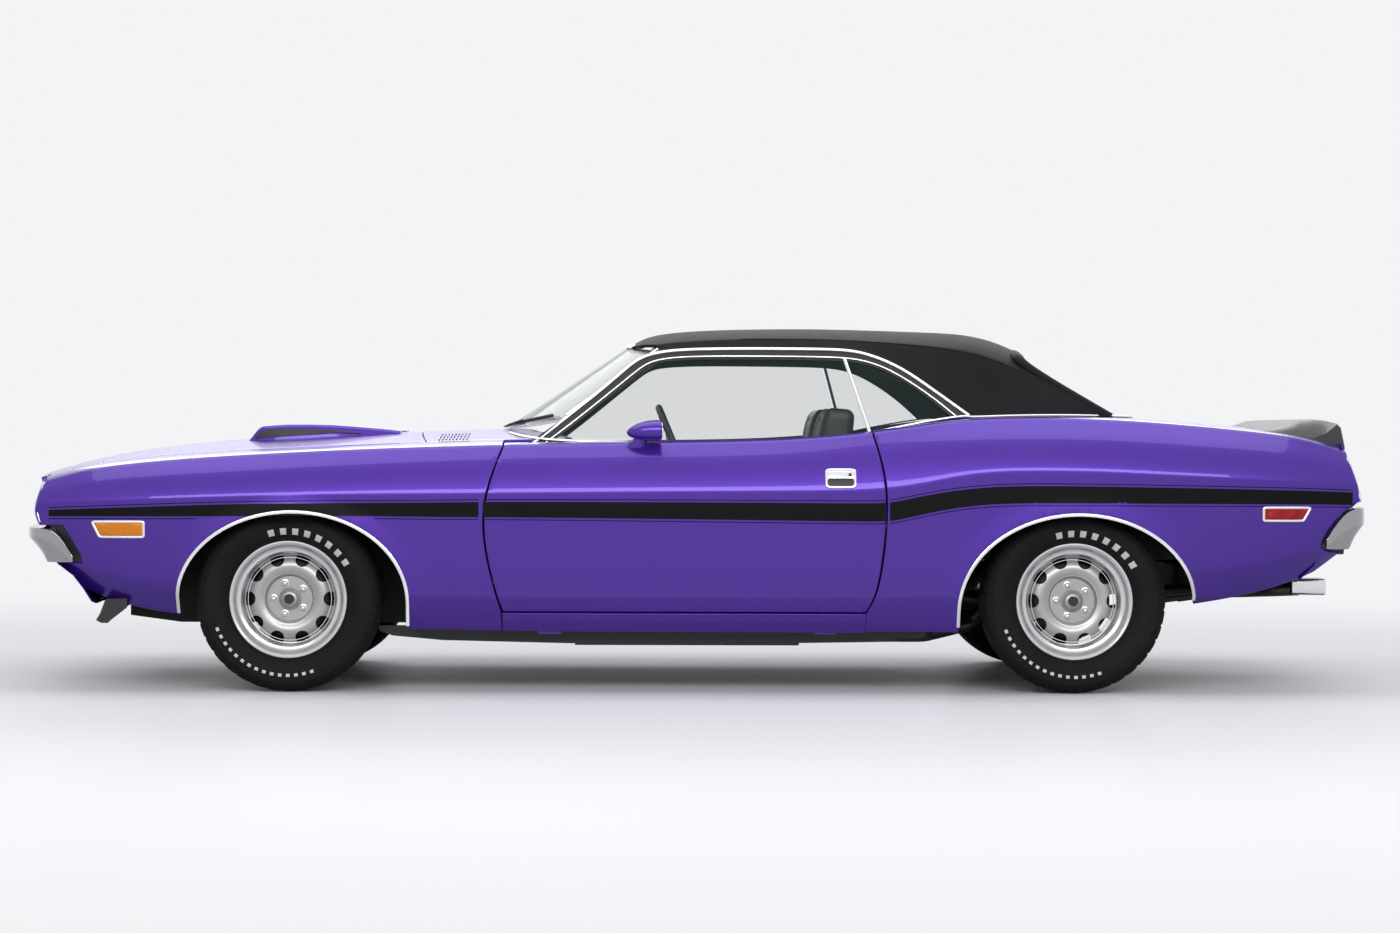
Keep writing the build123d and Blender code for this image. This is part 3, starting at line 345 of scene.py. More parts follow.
def sheet(name, points):
    """A mesh of quads through a grid of points, whose first index runs along the car."""
    rows, columns = points.shape[0] - 1, points.shape[1] - 1
    bpy.ops.mesh.primitive_grid_add(x_subdivisions=rows, y_subdivisions=columns, size=2)
    piece = bpy.context.object
    piece.name = piece.data.name = name
    flat = np.empty(len(piece.data.vertices) * 3)
    piece.data.vertices.foreach_get("co", flat)
    flat = flat.reshape(-1, 3)
    row = np.rint((flat[:, 0] + 1) / 2 * rows).astype(int)
    column = np.rint((flat[:, 1] + 1) / 2 * columns).astype(int)
    piece.data.vertices.foreach_set("co", points[row, column].ravel())
    piece.data.uv_layers.remove(piece.data.uv_layers[0])
    piece.data.update()
    return piece


def stretch(start, end, step):
    """Evenly spaced values from start to end, about a step apart."""
    return np.linspace(start, end, max(2, round(abs(end - start) / step) + 1))


def body_sheet(name, x_from, x_to, line_from, line_to, step=0.022):
    """A sheet of the body skin between two stations and two of its lines."""
    lines = [line_from]
    for whole in range(math.floor(line_from), math.ceil(line_to)):
        wide = abs(whole + 0.5) < EDGE
        parts = 14 if wide else 3
        lines += [whole + k / parts for k in range(1, parts + 1)]
    lines = sorted({round(min(max(line, line_from), line_to), 4) for line in lines})
    return sheet(name, skin(stretch(x_from, x_to, step), lines))


def inside(outline, across, down):
    """Whether points lie inside a closed outline."""
    found = np.zeros(len(across), bool)
    for (a, b), (c, d) in zip(outline, outline[1:] + outline[:1]):
        crosses = (b > down) != (d > down)
        found ^= crosses & (across < a + (down - b) * (c - a) / np.where(d == b, 1e-12, d - b))
    return found


def trim(piece, outline, view="side", keep="inside"):
    """Cuts a sheet along an outline seen from the side (x, z), above (x, y) or ahead (y, z)."""
    first, second = {"side": (0, 2), "above": (0, 1), "ahead": (1, 2)}[view]
    mesh = bmesh.new()
    mesh.from_mesh(piece.data)
    snap = 0.0004
    near = set(mesh.faces)
    for a, b in zip(outline, outline[1:] + outline[:1]):
        a, b = Vector(a), Vector(b)
        low = (min(a.x, b.x) - snap, min(a.y, b.y) - snap)
        high = (max(a.x, b.x) + snap, max(a.y, b.y) + snap)
        crossed = []
        for face in near:
            across = [v.co[first] for v in face.verts]
            up = [v.co[second] for v in face.verts]
            if max(across) > low[0] and min(across) < high[0] and max(up) > low[1] and min(up) < high[1]:
                crossed.append(face)
        if not crossed:
            continue
        point, normal = Vector((0, 0, 0)), Vector((0, 0, 0))
        point[first], point[second] = a
        normal[first], normal[second] = (b - a).y, -(b - a).x
        edges = {edge for face in crossed for edge in face.edges}
        corners = {v for face in crossed for v in face.verts}
        made = bmesh.ops.bisect_plane(
            mesh, geom=crossed + list(edges) + list(corners), dist=snap, plane_co=point,
            plane_no=normal.normalized()
        )
        near |= {part for part in made["geom"] if isinstance(part, bmesh.types.BMFace)}
    middles = np.array([face.calc_center_median() for face in mesh.faces])
    found = inside([tuple(p) for p in outline], middles[:, first], middles[:, second])
    unwanted = [face for face, within in zip(list(mesh.faces), found) if within != (keep == "inside")]
    bmesh.ops.delete(mesh, geom=unwanted, context="FACES")
    mesh.to_mesh(piece.data)
    mesh.free()
    return piece


def hem(piece, depth=0.016, radius=hem_radius, thickness=0.0022):
    """Rolls a sheet's edges over, turns a flange inwards and closes it with an inner skin."""
    mesh = bmesh.new()
    mesh.from_mesh(piece.data)
    bmesh.ops.remove_doubles(mesh, verts=mesh.verts, dist=0.00002)
    mesh.normal_update()
    outer = list(mesh.faces)
    border = [edge for edge in mesh.edges if edge.is_boundary]
    outward = {}
    for edge in border:
        face = edge.link_faces[0]
        a, b = edge.verts
        way = (b.co - a.co).cross(face.normal)
        if way.dot(edge.verts[0].co - face.calc_center_median()) < 0:
            way.negate()
        for corner in edge.verts:
            outward.setdefault(corner, []).append(way.normalized())
    lean = {}
    for corner, ways in outward.items():
        mean = sum(ways, Vector()) / len(ways)
        mean -= corner.normal * mean.dot(corner.normal)
        lean[corner] = mean / max(mean.length_squared, 0.3)
    normals = {corner: corner.normal.copy() for corner in mesh.verts}
    inner = {corner: mesh.verts.new(corner.co - normals[corner] * thickness) for corner in list(mesh.verts)}
    turns = [math.radians(angle) for angle in (30, 60, 90)]
    rings = [(radius * math.sin(turn), radius * (1 - math.cos(turn))) for turn in turns]
    rings += [(radius, depth), (radius - thickness, depth)]
    previous = {corner: corner for corner in lean}
    loops = []
    for edge in border:
        loop = next(loop for loop in edge.link_faces[0].loops if loop.edge == edge)
        loops.append((loop.vert, loop.link_loop_next.vert))
    for ring in rings:
        current = {
            corner: mesh.verts.new(corner.co + lean[corner] * ring[0] - normals[corner] * ring[1])
            for corner in lean
        }
        for start, end in loops:
            mesh.faces.new((previous[end], previous[start], current[start], current[end]))
        previous = current
    for start, end in loops:
        mesh.faces.new((previous[end], previous[start], inner[start], inner[end]))
    for face in outer:
        mesh.faces.new([inner[corner] for corner in reversed(face.verts)])
    for face in mesh.faces:
        face.smooth = True
    mesh.to_mesh(piece.data)
    mesh.free()
    bpy.context.view_layer.objects.active = piece
    piece.select_set(True)
    bpy.ops.object.shade_smooth_by_angle(angle=math.radians(38))
    piece.select_set(False)
    return piece


def opposite(piece, name):
    """A copy of a left-hand piece, mirrored to the right-hand side."""
    twin = piece.copy()
    twin.data = piece.data.copy()
    twin.name = twin.data.name = name
    bpy.context.scene.collection.objects.link(twin)
    twin.data.transform(Matrix.Scale(-1, 4, (0, 1, 0)))
    twin.data.flip_normals()
    return twin


def shifted(outline, by):
    """An outline moved along the car."""
    return [(x + by, other) for x, other in outline]


def arch_line(arch, grow=0.0, points=33):
    """The edge of a wheel opening, from its front foot over the wheel to its rear foot."""
    arch_x, arch_z, half_width, height = arch
    turns = np.linspace(math.pi, 0, points)
    curve = [
        (arch_x + (half_width + grow) * math.cos(turn), arch_z + (height + grow) * math.sin(turn))
        for turn in turns
    ]
    return [(curve[0][0], 0.1)] + curve + [(curve[-1][0], 0.1)]


def both_sides(outline):
    """A closed outline seen from above, from the points of its right-hand half."""
    return outline + [(x, -y) for x, y in reversed(outline) if y > 0]


def edge_at(xs, line):
    """How far from the centre one of the body's lines runs, at the given x."""
    rows = smooth(BODY_NET, np.interp(xs, fine_x, fine))
    return smooth(rows, [centre_line + line], axis=1)[:, 0, 0]


paint = Finish("body_paint", Metallic=0.5, Specular_IOR_Level=0.2, Coat_Weight=0.6, Coat_Roughness=0.025)
flake = paint.noise(2600, detail=0)
paint_tone = paint.blend(flake, (0.056, 0.013, 0.27), (0.082, 0.022, 0.37))
paint.set("Base Color", paint_tone)
paint.set("Roughness", 0.30 + 0.06 * paint.noise(3, detail=1))
orange_peel = paint.noise(420, detail=0)
paint.bump(orange_peel, 0.06, 0.0004)

edge = gap / 2 + hem_radius
top, bottom = 1.15, 0.05
DOOR_FRONT = [
    (-0.686, top), (-0.686, 0.873), (-0.764, 0.671), (-0.742, 0.468), (-0.686, 0.283), (-0.686, bottom)
]
DOOR_REAR = [
    (0.600, bottom), (0.600, 0.283), (0.642, 0.349), (0.669, 0.541), (0.674, 0.676), (0.663, 0.800),
    (0.630, 0.917),
    (0.630, top),
]
DOOR_BOTTOM = 0.286
NOSE_SIDE = [(-2.310, top), (-2.310, 0.741), (-2.335, 0.642), (-2.321, 0.592)]
FRONT_NOTCH = [(-2.236, 0.592), (-2.172, 0.482), (-2.168, 0.452), (-2.259, 0.450)]
FRONT_FOOT = [(-2.202, 0.412), (-2.138, 0.317), (-2.078, 0.312), (-1.830, 0.276)]
TAIL_SIDE = [(2.326, 0.844), (2.366, 0.691), (2.300, 0.663), (2.212, 0.546), (2.220, 0.508), (2.309, 0.500)]
REAR_FOOT = [(2.297, 0.503), (2.186, 0.418), (2.106, 0.384), (2.005, 0.356), (1.774, 0.316)]
SILL_BOTTOM = 0.221


def curved(outline, first, last, parts=5):
    """An outline whose corners from first to last are drawn as one smooth curve."""
    run = np.array(outline[first : last + 1])
    where = np.linspace(0, len(run) - 1, (len(run) - 1) * parts + 1)
    return outline[:first] + [tuple(point) for point in smooth(run, where)] + outline[last + 1 :]


door_front = curved(DOOR_FRONT, 1, 4)
door_rear = curved(DOOR_REAR, 1, 6)
lid_xs = stretch(nose_x, tail_x, 0.05)
lid_edge = list(zip(lid_xs, edge_at(lid_xs, EDGE)))


def outside_lids(inset):
    """What lies outside the hood's and the decklid's side edges, on the left, seen from above."""
    line = [(x, -y - inset) for x, y in lid_edge]
    return line + [
        (tail_x + 0.1, line[-1][1]), (tail_x + 0.1, -1.2), (nose_x - 0.1, -1.2), (nose_x - 0.1, line[0][1])
    ]


# Front fenders: from the nose to the door, outside the hood, cut out over the wheel.
fender_side = (
    NOSE_SIDE + FRONT_NOTCH + FRONT_FOOT + arch_line(FRONT_ARCH, 0.004)
    + [(-1.0, SILL_BOTTOM), (-0.69, SILL_BOTTOM)]
    + shifted(door_front[:-1], -edge)[::-1]
)

fender = body_sheet("fender_left", nose_x, -0.66, -SILL, -EDGE + 0.5)
trim(fender, fender_side)
trim(fender, outside_lids(edge), "above")
hem(fender)
for piece, node in ((fender, "fender_left"), (opposite(fender, "fender_right"), "fender_right")):
    piece.name = piece.data.name = f"{node}_panel"
    fit(piece, paint, "body_paint", "root", node)


# Doors: a hemmed steel skin over a moulded inner lining, hung on two hinges at the front.
def backed(piece, flat_y):
    """Closes a sheet with straight sides and a flat inner face at flat_y."""
    mesh = bmesh.new()
    mesh.from_mesh(piece.data)
    outer = list(mesh.faces)
    border = [edge for edge in mesh.edges if edge.is_boundary]
    inner = {corner: mesh.verts.new((corner.co.x, flat_y, corner.co.z)) for corner in list(mesh.verts)}
    for edge in border:
        loop = next(loop for loop in edge.link_faces[0].loops if loop.edge == edge)
        start, end = loop.vert, loop.link_loop_next.vert
        mesh.faces.new((end, start, inner[start], inner[end]))
    for face in outer:
        mesh.faces.new([inner[corner] for corner in reversed(face.verts)])
    mesh.to_mesh(piece.data)
    mesh.free()
    soften(piece)
    return piece


def soften(piece, angle=38):
    """Shades a piece smooth, with its corners over an angle left sharp."""
    bpy.ops.object.select_all(action="DESELECT")
    bpy.context.view_layer.objects.active = piece
    piece.select_set(True)
    bpy.ops.object.shade_smooth_by_angle(angle=math.radians(angle))
    piece.select_set(False)
    return piece


def door_outline(inset):
    """The door's border seen from the side, inset from the middle of its gaps."""
    low = DOOR_BOTTOM + inset
    front = [(x, z) for x, z in shifted(door_front, inset) if z > low]
    rear = [(x, z) for x, z in shifted(door_rear, -inset) if z > low]
    return front + [(-0.686 + inset, low), (0.600 - inset, low)] + rear


trim_cloth = Finish("cabin_trim", Base_Color=(0.018, 0.02, 0.021), Roughness=0.6, Sheen_Weight=0.25)
trim_grain = trim_cloth.noise(420, detail=3)
trim_cloth.set("Roughness", 0.5 + 0.2 * trim_grain)
trim_cloth.set(
    "Base Color", trim_cloth.blend(trim_cloth.noise(6), (0.016, 0.018, 0.019), (0.028, 0.031, 0.032))
)
trim_cloth.bump(trim_grain, 0.35, 0.0008)

door = body_sheet("door_left_skin", -0.80, 0.70, -SILL, -3.3)
trim(door, door_outline(edge))
hem(door)
lining = body_sheet("door_left_lining", -0.80, 0.70, -SILL, -3.4, 0.06)
lining.data.transform(Matrix.Translation((0, 0.012, 0)))
trim(lining, door_outline(edge + 0.008))
backed(lining, -0.786)
for side, skin_piece, inner_piece in (
    ("left", door, lining),
    ("right", opposite(door, "door_right_skin"), opposite(lining, "door_right_lining")),
):
    fit(skin_piece, paint, "body_paint", f"door_{side}", f"door_{side}")
    fit(inner_piece, trim_cloth, "cabin_trim", f"door_{side}", f"door_{side}")

# Quarter panels: from the door over the rear wheel to the tail, with the sail below the roof.
SAIL_EDGE = [
    (0.45, 0.812), (0.64, 0.800), (0.80, 0.765), (0.98, 0.710), (1.20, 0.665), (1.47, 0.595),
    (1.487, 0.600), (1.487, 0.703), (1.697, 0.703),
]
lid_front_x = 1.703
quarter_side = (
    shifted(door_rear[1:], edge) + TAIL_SIDE[:1] + curved(TAIL_SIDE, 1, 5, 3)[1:] + REAR_FOOT
    + arch_line(REAR_ARCH, 0.004)[::-1] + [(0.92, SILL_BOTTOM), (0.600 + edge, SILL_BOTTOM)]
)
quarter_side.insert(len(door_rear) - 1, (TAIL_SIDE[0][0], top))
quarter = body_sheet("quarter_left", 0.56, tail_x - 0.01, -SILL, -EDGE + 0.6)
trim(quarter, quarter_side)
lid_side = [(x, -y - edge) for x, y in lid_edge if x > lid_front_x]
trim(
    quarter,
    [(x, -y) for x, y in SAIL_EDGE] + lid_side
    + [(2.6, lid_side[-1][1]), (2.6, -1.2), (0.4, -1.2), (0.4, -0.812)],
    "above",
)
hem(quarter)
for piece, node in (
    (quarter, "quarter_panel_left"), (opposite(quarter, "quarter_right"), "quarter_panel_right")
):
    fit(piece, paint, "body_paint", "root", node)

# Sills: the painted rocker below each door.
sill_x = (-0.683, 0.600)
sill = body_sheet("sill_left", *sill_x, -SILL, -SILL + 3)
trim(
    sill,
    [(sill_x[0], 0.1), (sill_x[1], 0.1), (sill_x[1], DOOR_BOTTOM - edge), (sill_x[0], DOOR_BOTTOM - edge)]
)
hem(sill, depth=0.03)
for piece in (sill, opposite(sill, "sill_right")):
    fit(piece, paint, "body_paint", "root")

# Hood: one crowned panel, hinged at its rear edge, with two scoops bonded on top of it.
HOOD_FRONT = [(-2.280, 0.0), (-2.274, 0.2), (-2.262, 0.400), (-2.250, 0.56), (-2.232, 0.715)]
HOOD_REAR = [
    (-1.020, 0.0), (-1.016, 0.18), (-1.005, 0.350), (-0.992, 0.5), (-0.980, 0.600), (-0.968, 0.719)
]


def edge_run(x_from, x_to, inset):
    """The side edge of a lid seen from above, between two stations."""
    return [(x, y - inset) for x, y in lid_edge if x_from < x < x_to]


hood = body_sheet("hood_panel", -2.31, -0.94, -EDGE, EDGE)
trim(hood, both_sides(HOOD_FRONT + edge_run(-2.23, -0.97, edge) + HOOD_REAR[::-1]), "above")
hem(hood, depth=0.02)
fit(hood, paint, "body_paint", "hood", "hood")


def welded(piece, capped=False, dissolve=True):
    """Merges a piece's doubled points, fills its open ends if asked and turns its faces outwards."""
    merge_distance = 0.00001
    mesh = bmesh.new()
    mesh.from_mesh(piece.data)
    bmesh.ops.remove_doubles(mesh, verts=mesh.verts, dist=merge_distance)
    if dissolve:
        bmesh.ops.dissolve_degenerate(mesh, dist=merge_distance, edges=mesh.edges)
    if capped:
        bmesh.ops.holes_fill(mesh, edges=[edge for edge in mesh.edges if edge.is_boundary], sides=0)
    bmesh.ops.recalc_face_normals(mesh, faces=mesh.faces)
    mesh.to_mesh(piece.data)
    mesh.free()
    return piece


def closed_round(points):
    """A grid of points whose last column is its first once more."""
    return np.concatenate([points, points[:, :1]], axis=1)


def loft(name, rings, capped=True, angle=38):
    """A mesh through rings of as many points each, joined round and filled at its two ends."""
    return soften(welded(sheet(name, closed_round(np.array(rings, float))), capped), angle)


def top_z(x, y):
    """The height of the skin on the hood, the cowl or the deck at a place seen from above."""
    row = skin(np.array([x]), np.linspace(0, EDGE, 25))[0]
    return float(np.interp(abs(y), row[:, 1], row[:, 2]))


def column(rows, place, value, at):
    """One column of a table read against another, in straight lines."""
    return np.interp(at, [row[place] for row in rows], [row[value] for row in rows])


# x, inner y, outer y, top z
SCOOP_LINES = [
    (-1.645, 0.075, 0.285, 0.937), (-1.600, 0.066, 0.294, 0.944), (-1.520, 0.058, 0.302, 0.950),
    (-1.423, 0.055, 0.305, 0.951), (-1.340, 0.058, 0.302, 0.949), (-1.250, 0.068, 0.292, 0.943),
    (-1.160, 0.084, 0.276, 0.936), (-1.090, 0.105, 0.262, 0.9285),
]
scoop_round = 0.02
scoop_rings = []
for x, inner_y, outer_y, z in SCOOP_LINES:
    low = [top_z(x, inner_y) - 0.004, top_z(x, outer_y) - 0.004]
    corners = [(inner_y, low[0]), (inner_y + 0.006, z - scoop_round)]
    corners += [
        (inner_y + 0.006 + scoop_round * (1 - math.cos(t)), z - scoop_round * (1 - math.sin(t)))
        for t in (0.5, 1.0, 1.57)
    ]
    corners += [
        (outer_y - 0.006 - scoop_round * (1 - math.cos(t)), z - scoop_round * (1 - math.sin(t)))
        for t in (1.57, 1.0, 0.5)
    ]
    corners += [(outer_y - 0.006, z - scoop_round), (outer_y, low[1])]
    lean = 0.75 if not scoop_rings else 0
    scoop_rings.append([(x + lean * (corner_z - low[0]), y, corner_z) for y, corner_z in corners])
scoop = loft("scoop_right", scoop_rings)
bpy.ops.object.select_all(action="DESELECT")
mesh = bmesh.new()
mesh.from_mesh(scoop.data)
front_face = min(mesh.faces, key=lambda face: face.calc_center_median().x)
bmesh.ops.inset_region(mesh, faces=[front_face], thickness=0.007, use_even_offset=True)
bmesh.ops.translate(mesh, verts=front_face.verts, vec=(0.16, 0, -0.002))
mesh.to_mesh(scoop.data)
mesh.free()
for piece in (scoop, opposite(scoop, "scoop_left")):
    fit(piece, paint, "body_paint", "hood", "hood_scoop")
rubber = Finish("satin_black", Base_Color=(0.012, 0.012, 0.013), Roughness=0.5)
rubber_grain = rubber.noise(900, detail=2)
rubber.set("Roughness", 0.42 + 0.16 * rubber_grain)
rubber.bump(rubber_grain, 0.15, 0.0003)
insert_rings = []
for share in np.linspace(0, 1, 13):
    x = -1.626 + share * 0.392
    width = column(SCOOP_LINES, 0, 2, x)
    high = column(SCOOP_LINES, 0, 3, x) - 0.0145 - 0.006 * share
    low = top_z(x, width) + 0.010
    low += (high - 0.004 - low) * share**3
    lean = 0.030 * (1 - share) ** 6
    insert_rings.append([
        (x + lean * (z - low) / 0.04, width + dy, z)
        for dy, z in ((-0.006, low), (0.0022, low), (-0.0035, high), (-0.0075, high))
    ])
insert = loft("scoop_insert_right", insert_rings)
for piece in (insert, opposite(insert, "scoop_insert_left")):
    fit(piece, rubber, "satin_black", "hood")
throat_rings = [
    [(x, y, z) for y, z in ((0.098, 0.9), (0.262, 0.9), (0.262, 0.926), (0.098, 0.926))]
    for x in (-1.56, -1.49)
]
throat = loft("scoop_throat_right", throat_rings)
for piece in (throat, opposite(throat, "scoop_throat_left")):
    fit(piece, rubber, "satin_black", "hood")

# Cowl: the panel between hood and windscreen, with a group of air slots on each side drawn as thin black
# films on its skin: painted shade for the dark inside of the slots.
cowl = body_sheet("cowl_panel_skin", -1.05, -0.43, -EDGE, EDGE)
cowl_rear = [(-0.690, 0.7195), (-0.48, 0.7195), (-0.470, 0.65), (-0.590, 0.350), (-0.640, 0.0)]
trim(cowl, both_sides(shifted(HOOD_REAR, gap / 2 + edge) + cowl_rear), "above")
hem(cowl, depth=0.02)
fit(cowl, paint, "body_paint", "root", "cowl_panel")
slot_pitch, slot_width, slot_rows = 0.0125, 0.0045, 9


def joined(pieces):
    """Makes one piece of several."""
    bpy.ops.object.select_all(action="DESELECT")
    for piece in pieces:
        piece.select_set(True)
    bpy.context.view_layer.objects.active = pieces[0]
    bpy.ops.object.join()
    return pieces[0]


# each air slot is a thin black film laid on the cowl skin, painted shade standing in for the dark inside of
# an open slot
for side in (-1, 1):
    slots = []
    for row in range(slot_rows):
        x = -0.925 + row * slot_pitch
        for y in (0.36, 0.46, 0.56):
            z = top_z(x, y + 0.04) + 0.0004
            bpy.ops.mesh.primitive_cylinder_add(
                vertices=16, radius=slot_width / 2, depth=0.002, location=(x, side * (y + 0.04), z)
            )
            slot = bpy.context.object
            slot.scale = (1, 17, 1)
            bpy.ops.object.transform_apply(location=True, rotation=True, scale=True)
            slots.append(slot)
    slot_shade = joined(slots)
    slot_shade.name = slot_shade.data.name = f"cowl_slots_{'left' if side < 0 else 'right'}"
    fit(slot_shade, rubber, "satin_black", "root")

# Rear deck: the fixed panel below the rear window, the decklid behind it.
deck = body_sheet("deck_panel", 1.42, 1.72, -EDGE, EDGE)
trim(
    deck, [(1.475, -0.690), (1.697 - hem_radius, -0.697), (1.697 - hem_radius, 0.697), (1.475, 0.690)],
    "above"
)
hem(deck)
fit(deck, paint, "body_paint", "root", "rear_deck_panel")
decklid_rear_x = 2.322
decklid = body_sheet("decklid_panel", 1.68, 2.36, -EDGE, EDGE)
side_run = edge_run(lid_front_x + 0.01, decklid_rear_x - 0.005, edge)
trim(
    decklid,
    both_sides([(lid_front_x + hem_radius, 0.0), (lid_front_x + hem_radius, side_run[0][1])] + side_run
               + [(decklid_rear_x, side_run[-1][1]), (decklid_rear_x, 0.0)]),
    "above",
)
hem(decklid, depth=0.02)
fit(decklid, paint, "body_paint", "decklid", "decklid")


# Stripes: a broad black stripe with a pinstripe above and below, laid on each side panel.
STRIPE_TOP = [
    (-2.289, 0.643), (-1.637, 0.669), (-1.292, 0.672), (-0.806, 0.676), (-0.764, 0.679), (0.360, 0.679),
    (0.673, 0.676), (0.716, 0.687), (0.885, 0.722), (1.054, 0.740), (1.276, 0.742), (1.726, 0.736),
    (2.177, 0.727), (2.332, 0.721),
]
STRIPE_BOTTOM = [
    (-2.289, 0.621), (-1.637, 0.624), (-1.292, 0.629), (-0.806, 0.623), (-0.764, 0.626), (0.360, 0.616),
    (0.673, 0.612), (0.716, 0.620), (0.885, 0.660), (1.054, 0.680), (1.276, 0.681), (1.726, 0.680),
    (2.177, 0.679), (2.312, 0.677),
]
pin_offset, pin_width, film_gap = 0.0085, 0.0030, 0.0015
stripe_black = Finish(
    "stripe_black", Base_Color=(0.004, 0.004, 0.0045), Roughness=0.5, Specular_IOR_Level=0.1
)
stripe_black.set("Roughness", 0.38 + 0.1 * stripe_black.noise(40))


def run_at(xs, line):
    """The height of a stripe's edge at the given x, as a smooth curve through its points."""
    points = np.array(line)
    where = np.linspace(0, len(points) - 1, 600)
    curve = smooth(points, where)
    return np.interp(xs, curve[:, 0], curve[:, 1])


def stripe(name, body, x_from, x_to, lower, upper):
    """A thin film on the body skin between two heights that vary along the car."""
    xs = stretch(x_from, x_to, 0.02)
    lines = np.linspace(-WIDE - 4, -WIDE + 1, 60)
    grid = skin(xs, lines)
    low, high = lower(xs), upper(xs)
    rows = []
    for k, row in enumerate(grid):
        heights = np.linspace(low[k], high[k], 4)
        rows.append([(xs[k], np.interp(z, row[:, 2], row[:, 1]), z) for z in heights])
    rows = np.array(rows)
    outer, under = rows - (0, 0.0006, 0), rows + (0, 0.0006, 0)
    rings = np.concatenate([outer, under[:, ::-1]], axis=1)
    piece = loft(name, rings)
    for side, part in (("left", piece), ("right", opposite(piece, name.replace("left", "right")))):
        fit(part, stripe_black, "satin_black", body.replace("left", side))


pinstripes = {
    "stripe": (lambda xs: run_at(xs, STRIPE_BOTTOM), lambda xs: run_at(xs, STRIPE_TOP)),
    "pin_above": (
        lambda xs: run_at(xs, STRIPE_TOP) + pin_offset - pin_width / 2,
        lambda xs: run_at(xs, STRIPE_TOP) + pin_offset + pin_width / 2,
    ),
    "pin_below": (
        lambda xs: run_at(xs, STRIPE_BOTTOM) - pin_offset - pin_width / 2,
        lambda xs: run_at(xs, STRIPE_BOTTOM) - pin_offset + pin_width / 2,
    ),
}
door_gap_front, door_gap_rear = -0.7605, 0.6745
for kind, (lower, upper) in pinstripes.items():
    low_pin = kind == "pin_below"
    front_end = -1.155 if low_pin else door_gap_front - edge - film_gap
    stripe(f"{kind}_fender_left", "root", -2.288, -1.760 if low_pin else front_end, lower, upper)
    if low_pin:
        stripe("pin_below_fender_rear_left", "root", -1.135, door_gap_front - edge - film_gap, lower, upper)
    stripe(
        f"{kind}_door_left", "door_left", door_gap_front + edge + film_gap, door_gap_rear - edge - film_gap,
        lower, upper
    )
    stripe(f"{kind}_quarter_left", "root", door_gap_rear + edge + film_gap, 2.336, lower, upper)

# Roof: a steel roof under stitched black vinyl, from the windscreen header down both sails.
# The rear window sits deep in it.
bright = Finish("bright_metal", Metallic=0.8, Roughness=0.15)
bright.set("Base Color", bright.blend(bright.noise(5, detail=3), (0.80, 0.80, 0.82), (0.88, 0.88, 0.90)))
bright.set("Roughness", 0.14 + 0.08 * bright.noise(20, detail=2))

# z, front x and y, middle y, rear x and y of the side windows' leaning plane
SIDE_PLANE = [
    (0.860, -0.630, 0.770, 0.824, 1.690, 0.645), (0.985, -0.455, 0.715, 0.752, 1.484, 0.610),
    (1.090, -0.325, 0.665, 0.690, 1.285, 0.585), (1.220, -0.175, 0.590, 0.607, 0.979, 0.545),
    (1.330, -0.050, 0.525, 0.535, 0.720, 0.505),
]
cabin_middle_x = 0.45


def cabin_y(x, z):
    """How far out the cabin's side lies at the given x and z."""
    front_x, front_y, middle_y, rear_x, rear_y = (column(SIDE_PLANE, 0, k, z) for k in range(1, 6))
    ahead = np.clip((cabin_middle_x - x) / (cabin_middle_x - front_x), 0, None)
    behind = np.clip((x - cabin_middle_x) / (rear_x - cabin_middle_x), 0, None)
    return middle_y - (middle_y - front_y) * ahead**2 - (middle_y - rear_y) * behind**2


# drip rail x, z, window opening x, z
WINDOW_LINES = [
    (-0.600, 0.872, -0.560, 0.858), (-0.554, 0.904, -0.513, 0.893), (-0.450, 0.989, -0.416, 0.966),
    (-0.345, 1.072, -0.300, 1.061), (-0.250, 1.156, -0.199, 1.143), (-0.199, 1.199, -0.150, 1.178),
    (-0.108, 1.222, -0.070, 1.187), (0.020, 1.228, 0.020, 1.191), (0.165, 1.230, 0.165, 1.192),
    (0.492, 1.230, 0.492, 1.190), (0.580, 1.223, 0.570, 1.184), (0.650, 1.204, 0.629, 1.174),
    (0.747, 1.163, 0.701, 1.146), (0.856, 1.084, 0.790, 1.092), (0.920, 1.037, 0.862, 1.037),
    (0.984, 0.990, 0.921, 0.983),
]
# x, centre z, seam z, base z
ROOF_LINES = [
    (-0.300, 1.196, 1.180, 1.110), (-0.235, 1.252, 1.212, 1.165), (-0.180, 1.285, 1.238, 1.205),
    (-0.100, 1.302, 1.252, 1.2225), (0.040, 1.313, 1.262, 1.228), (0.200, 1.318, 1.267, 1.230),
    (0.408, 1.321, 1.266, 1.230), (0.540, 1.319, 1.263, 1.228), (0.650, 1.317, 1.257, 1.204),
    (0.750, 1.314, 1.251, 1.161), (0.856, 1.311, 1.243, 1.084), (0.984, 1.307, 1.226, 0.986),
    (1.060, 1.297, 1.206, 0.980), (1.130, 1.280, 1.180, 0.978), (1.200, 1.252, 1.146, 0.976),
    (1.339, 1.176, 1.078, 0.972), (1.473, 1.098, 1.002, 0.966), (1.620, 1.013, 0.925, 0.900),
    (1.720, 0.955, 0.870, 0.850),
]
SEAM_Y = [(0.90, 0.612), (0.985, 0.607), (1.09, 0.586), (1.22, 0.547), (1.27, 0.540)]


def roof_station(row):
    """The right half of the roof's section at a station, from its centre to its base."""
    x, centre_z, seam_z, base_z = row
    seam_y = column(SEAM_Y, 0, 1, seam_z)
    base_y = cabin_y(x, base_z)
    drop = centre_z - seam_z
    points = [
        (seam_y * share, centre_z - drop * share**2.2) for share in (0, 0.3, 0.55, 0.75, 0.88, 0.95, 1.0)
    ]
    return points + [
        (seam_y + s * (base_y - seam_y), seam_z + s * (base_z - seam_z)) for s in (0.12, 0.3, 0.65, 1.0)
    ]


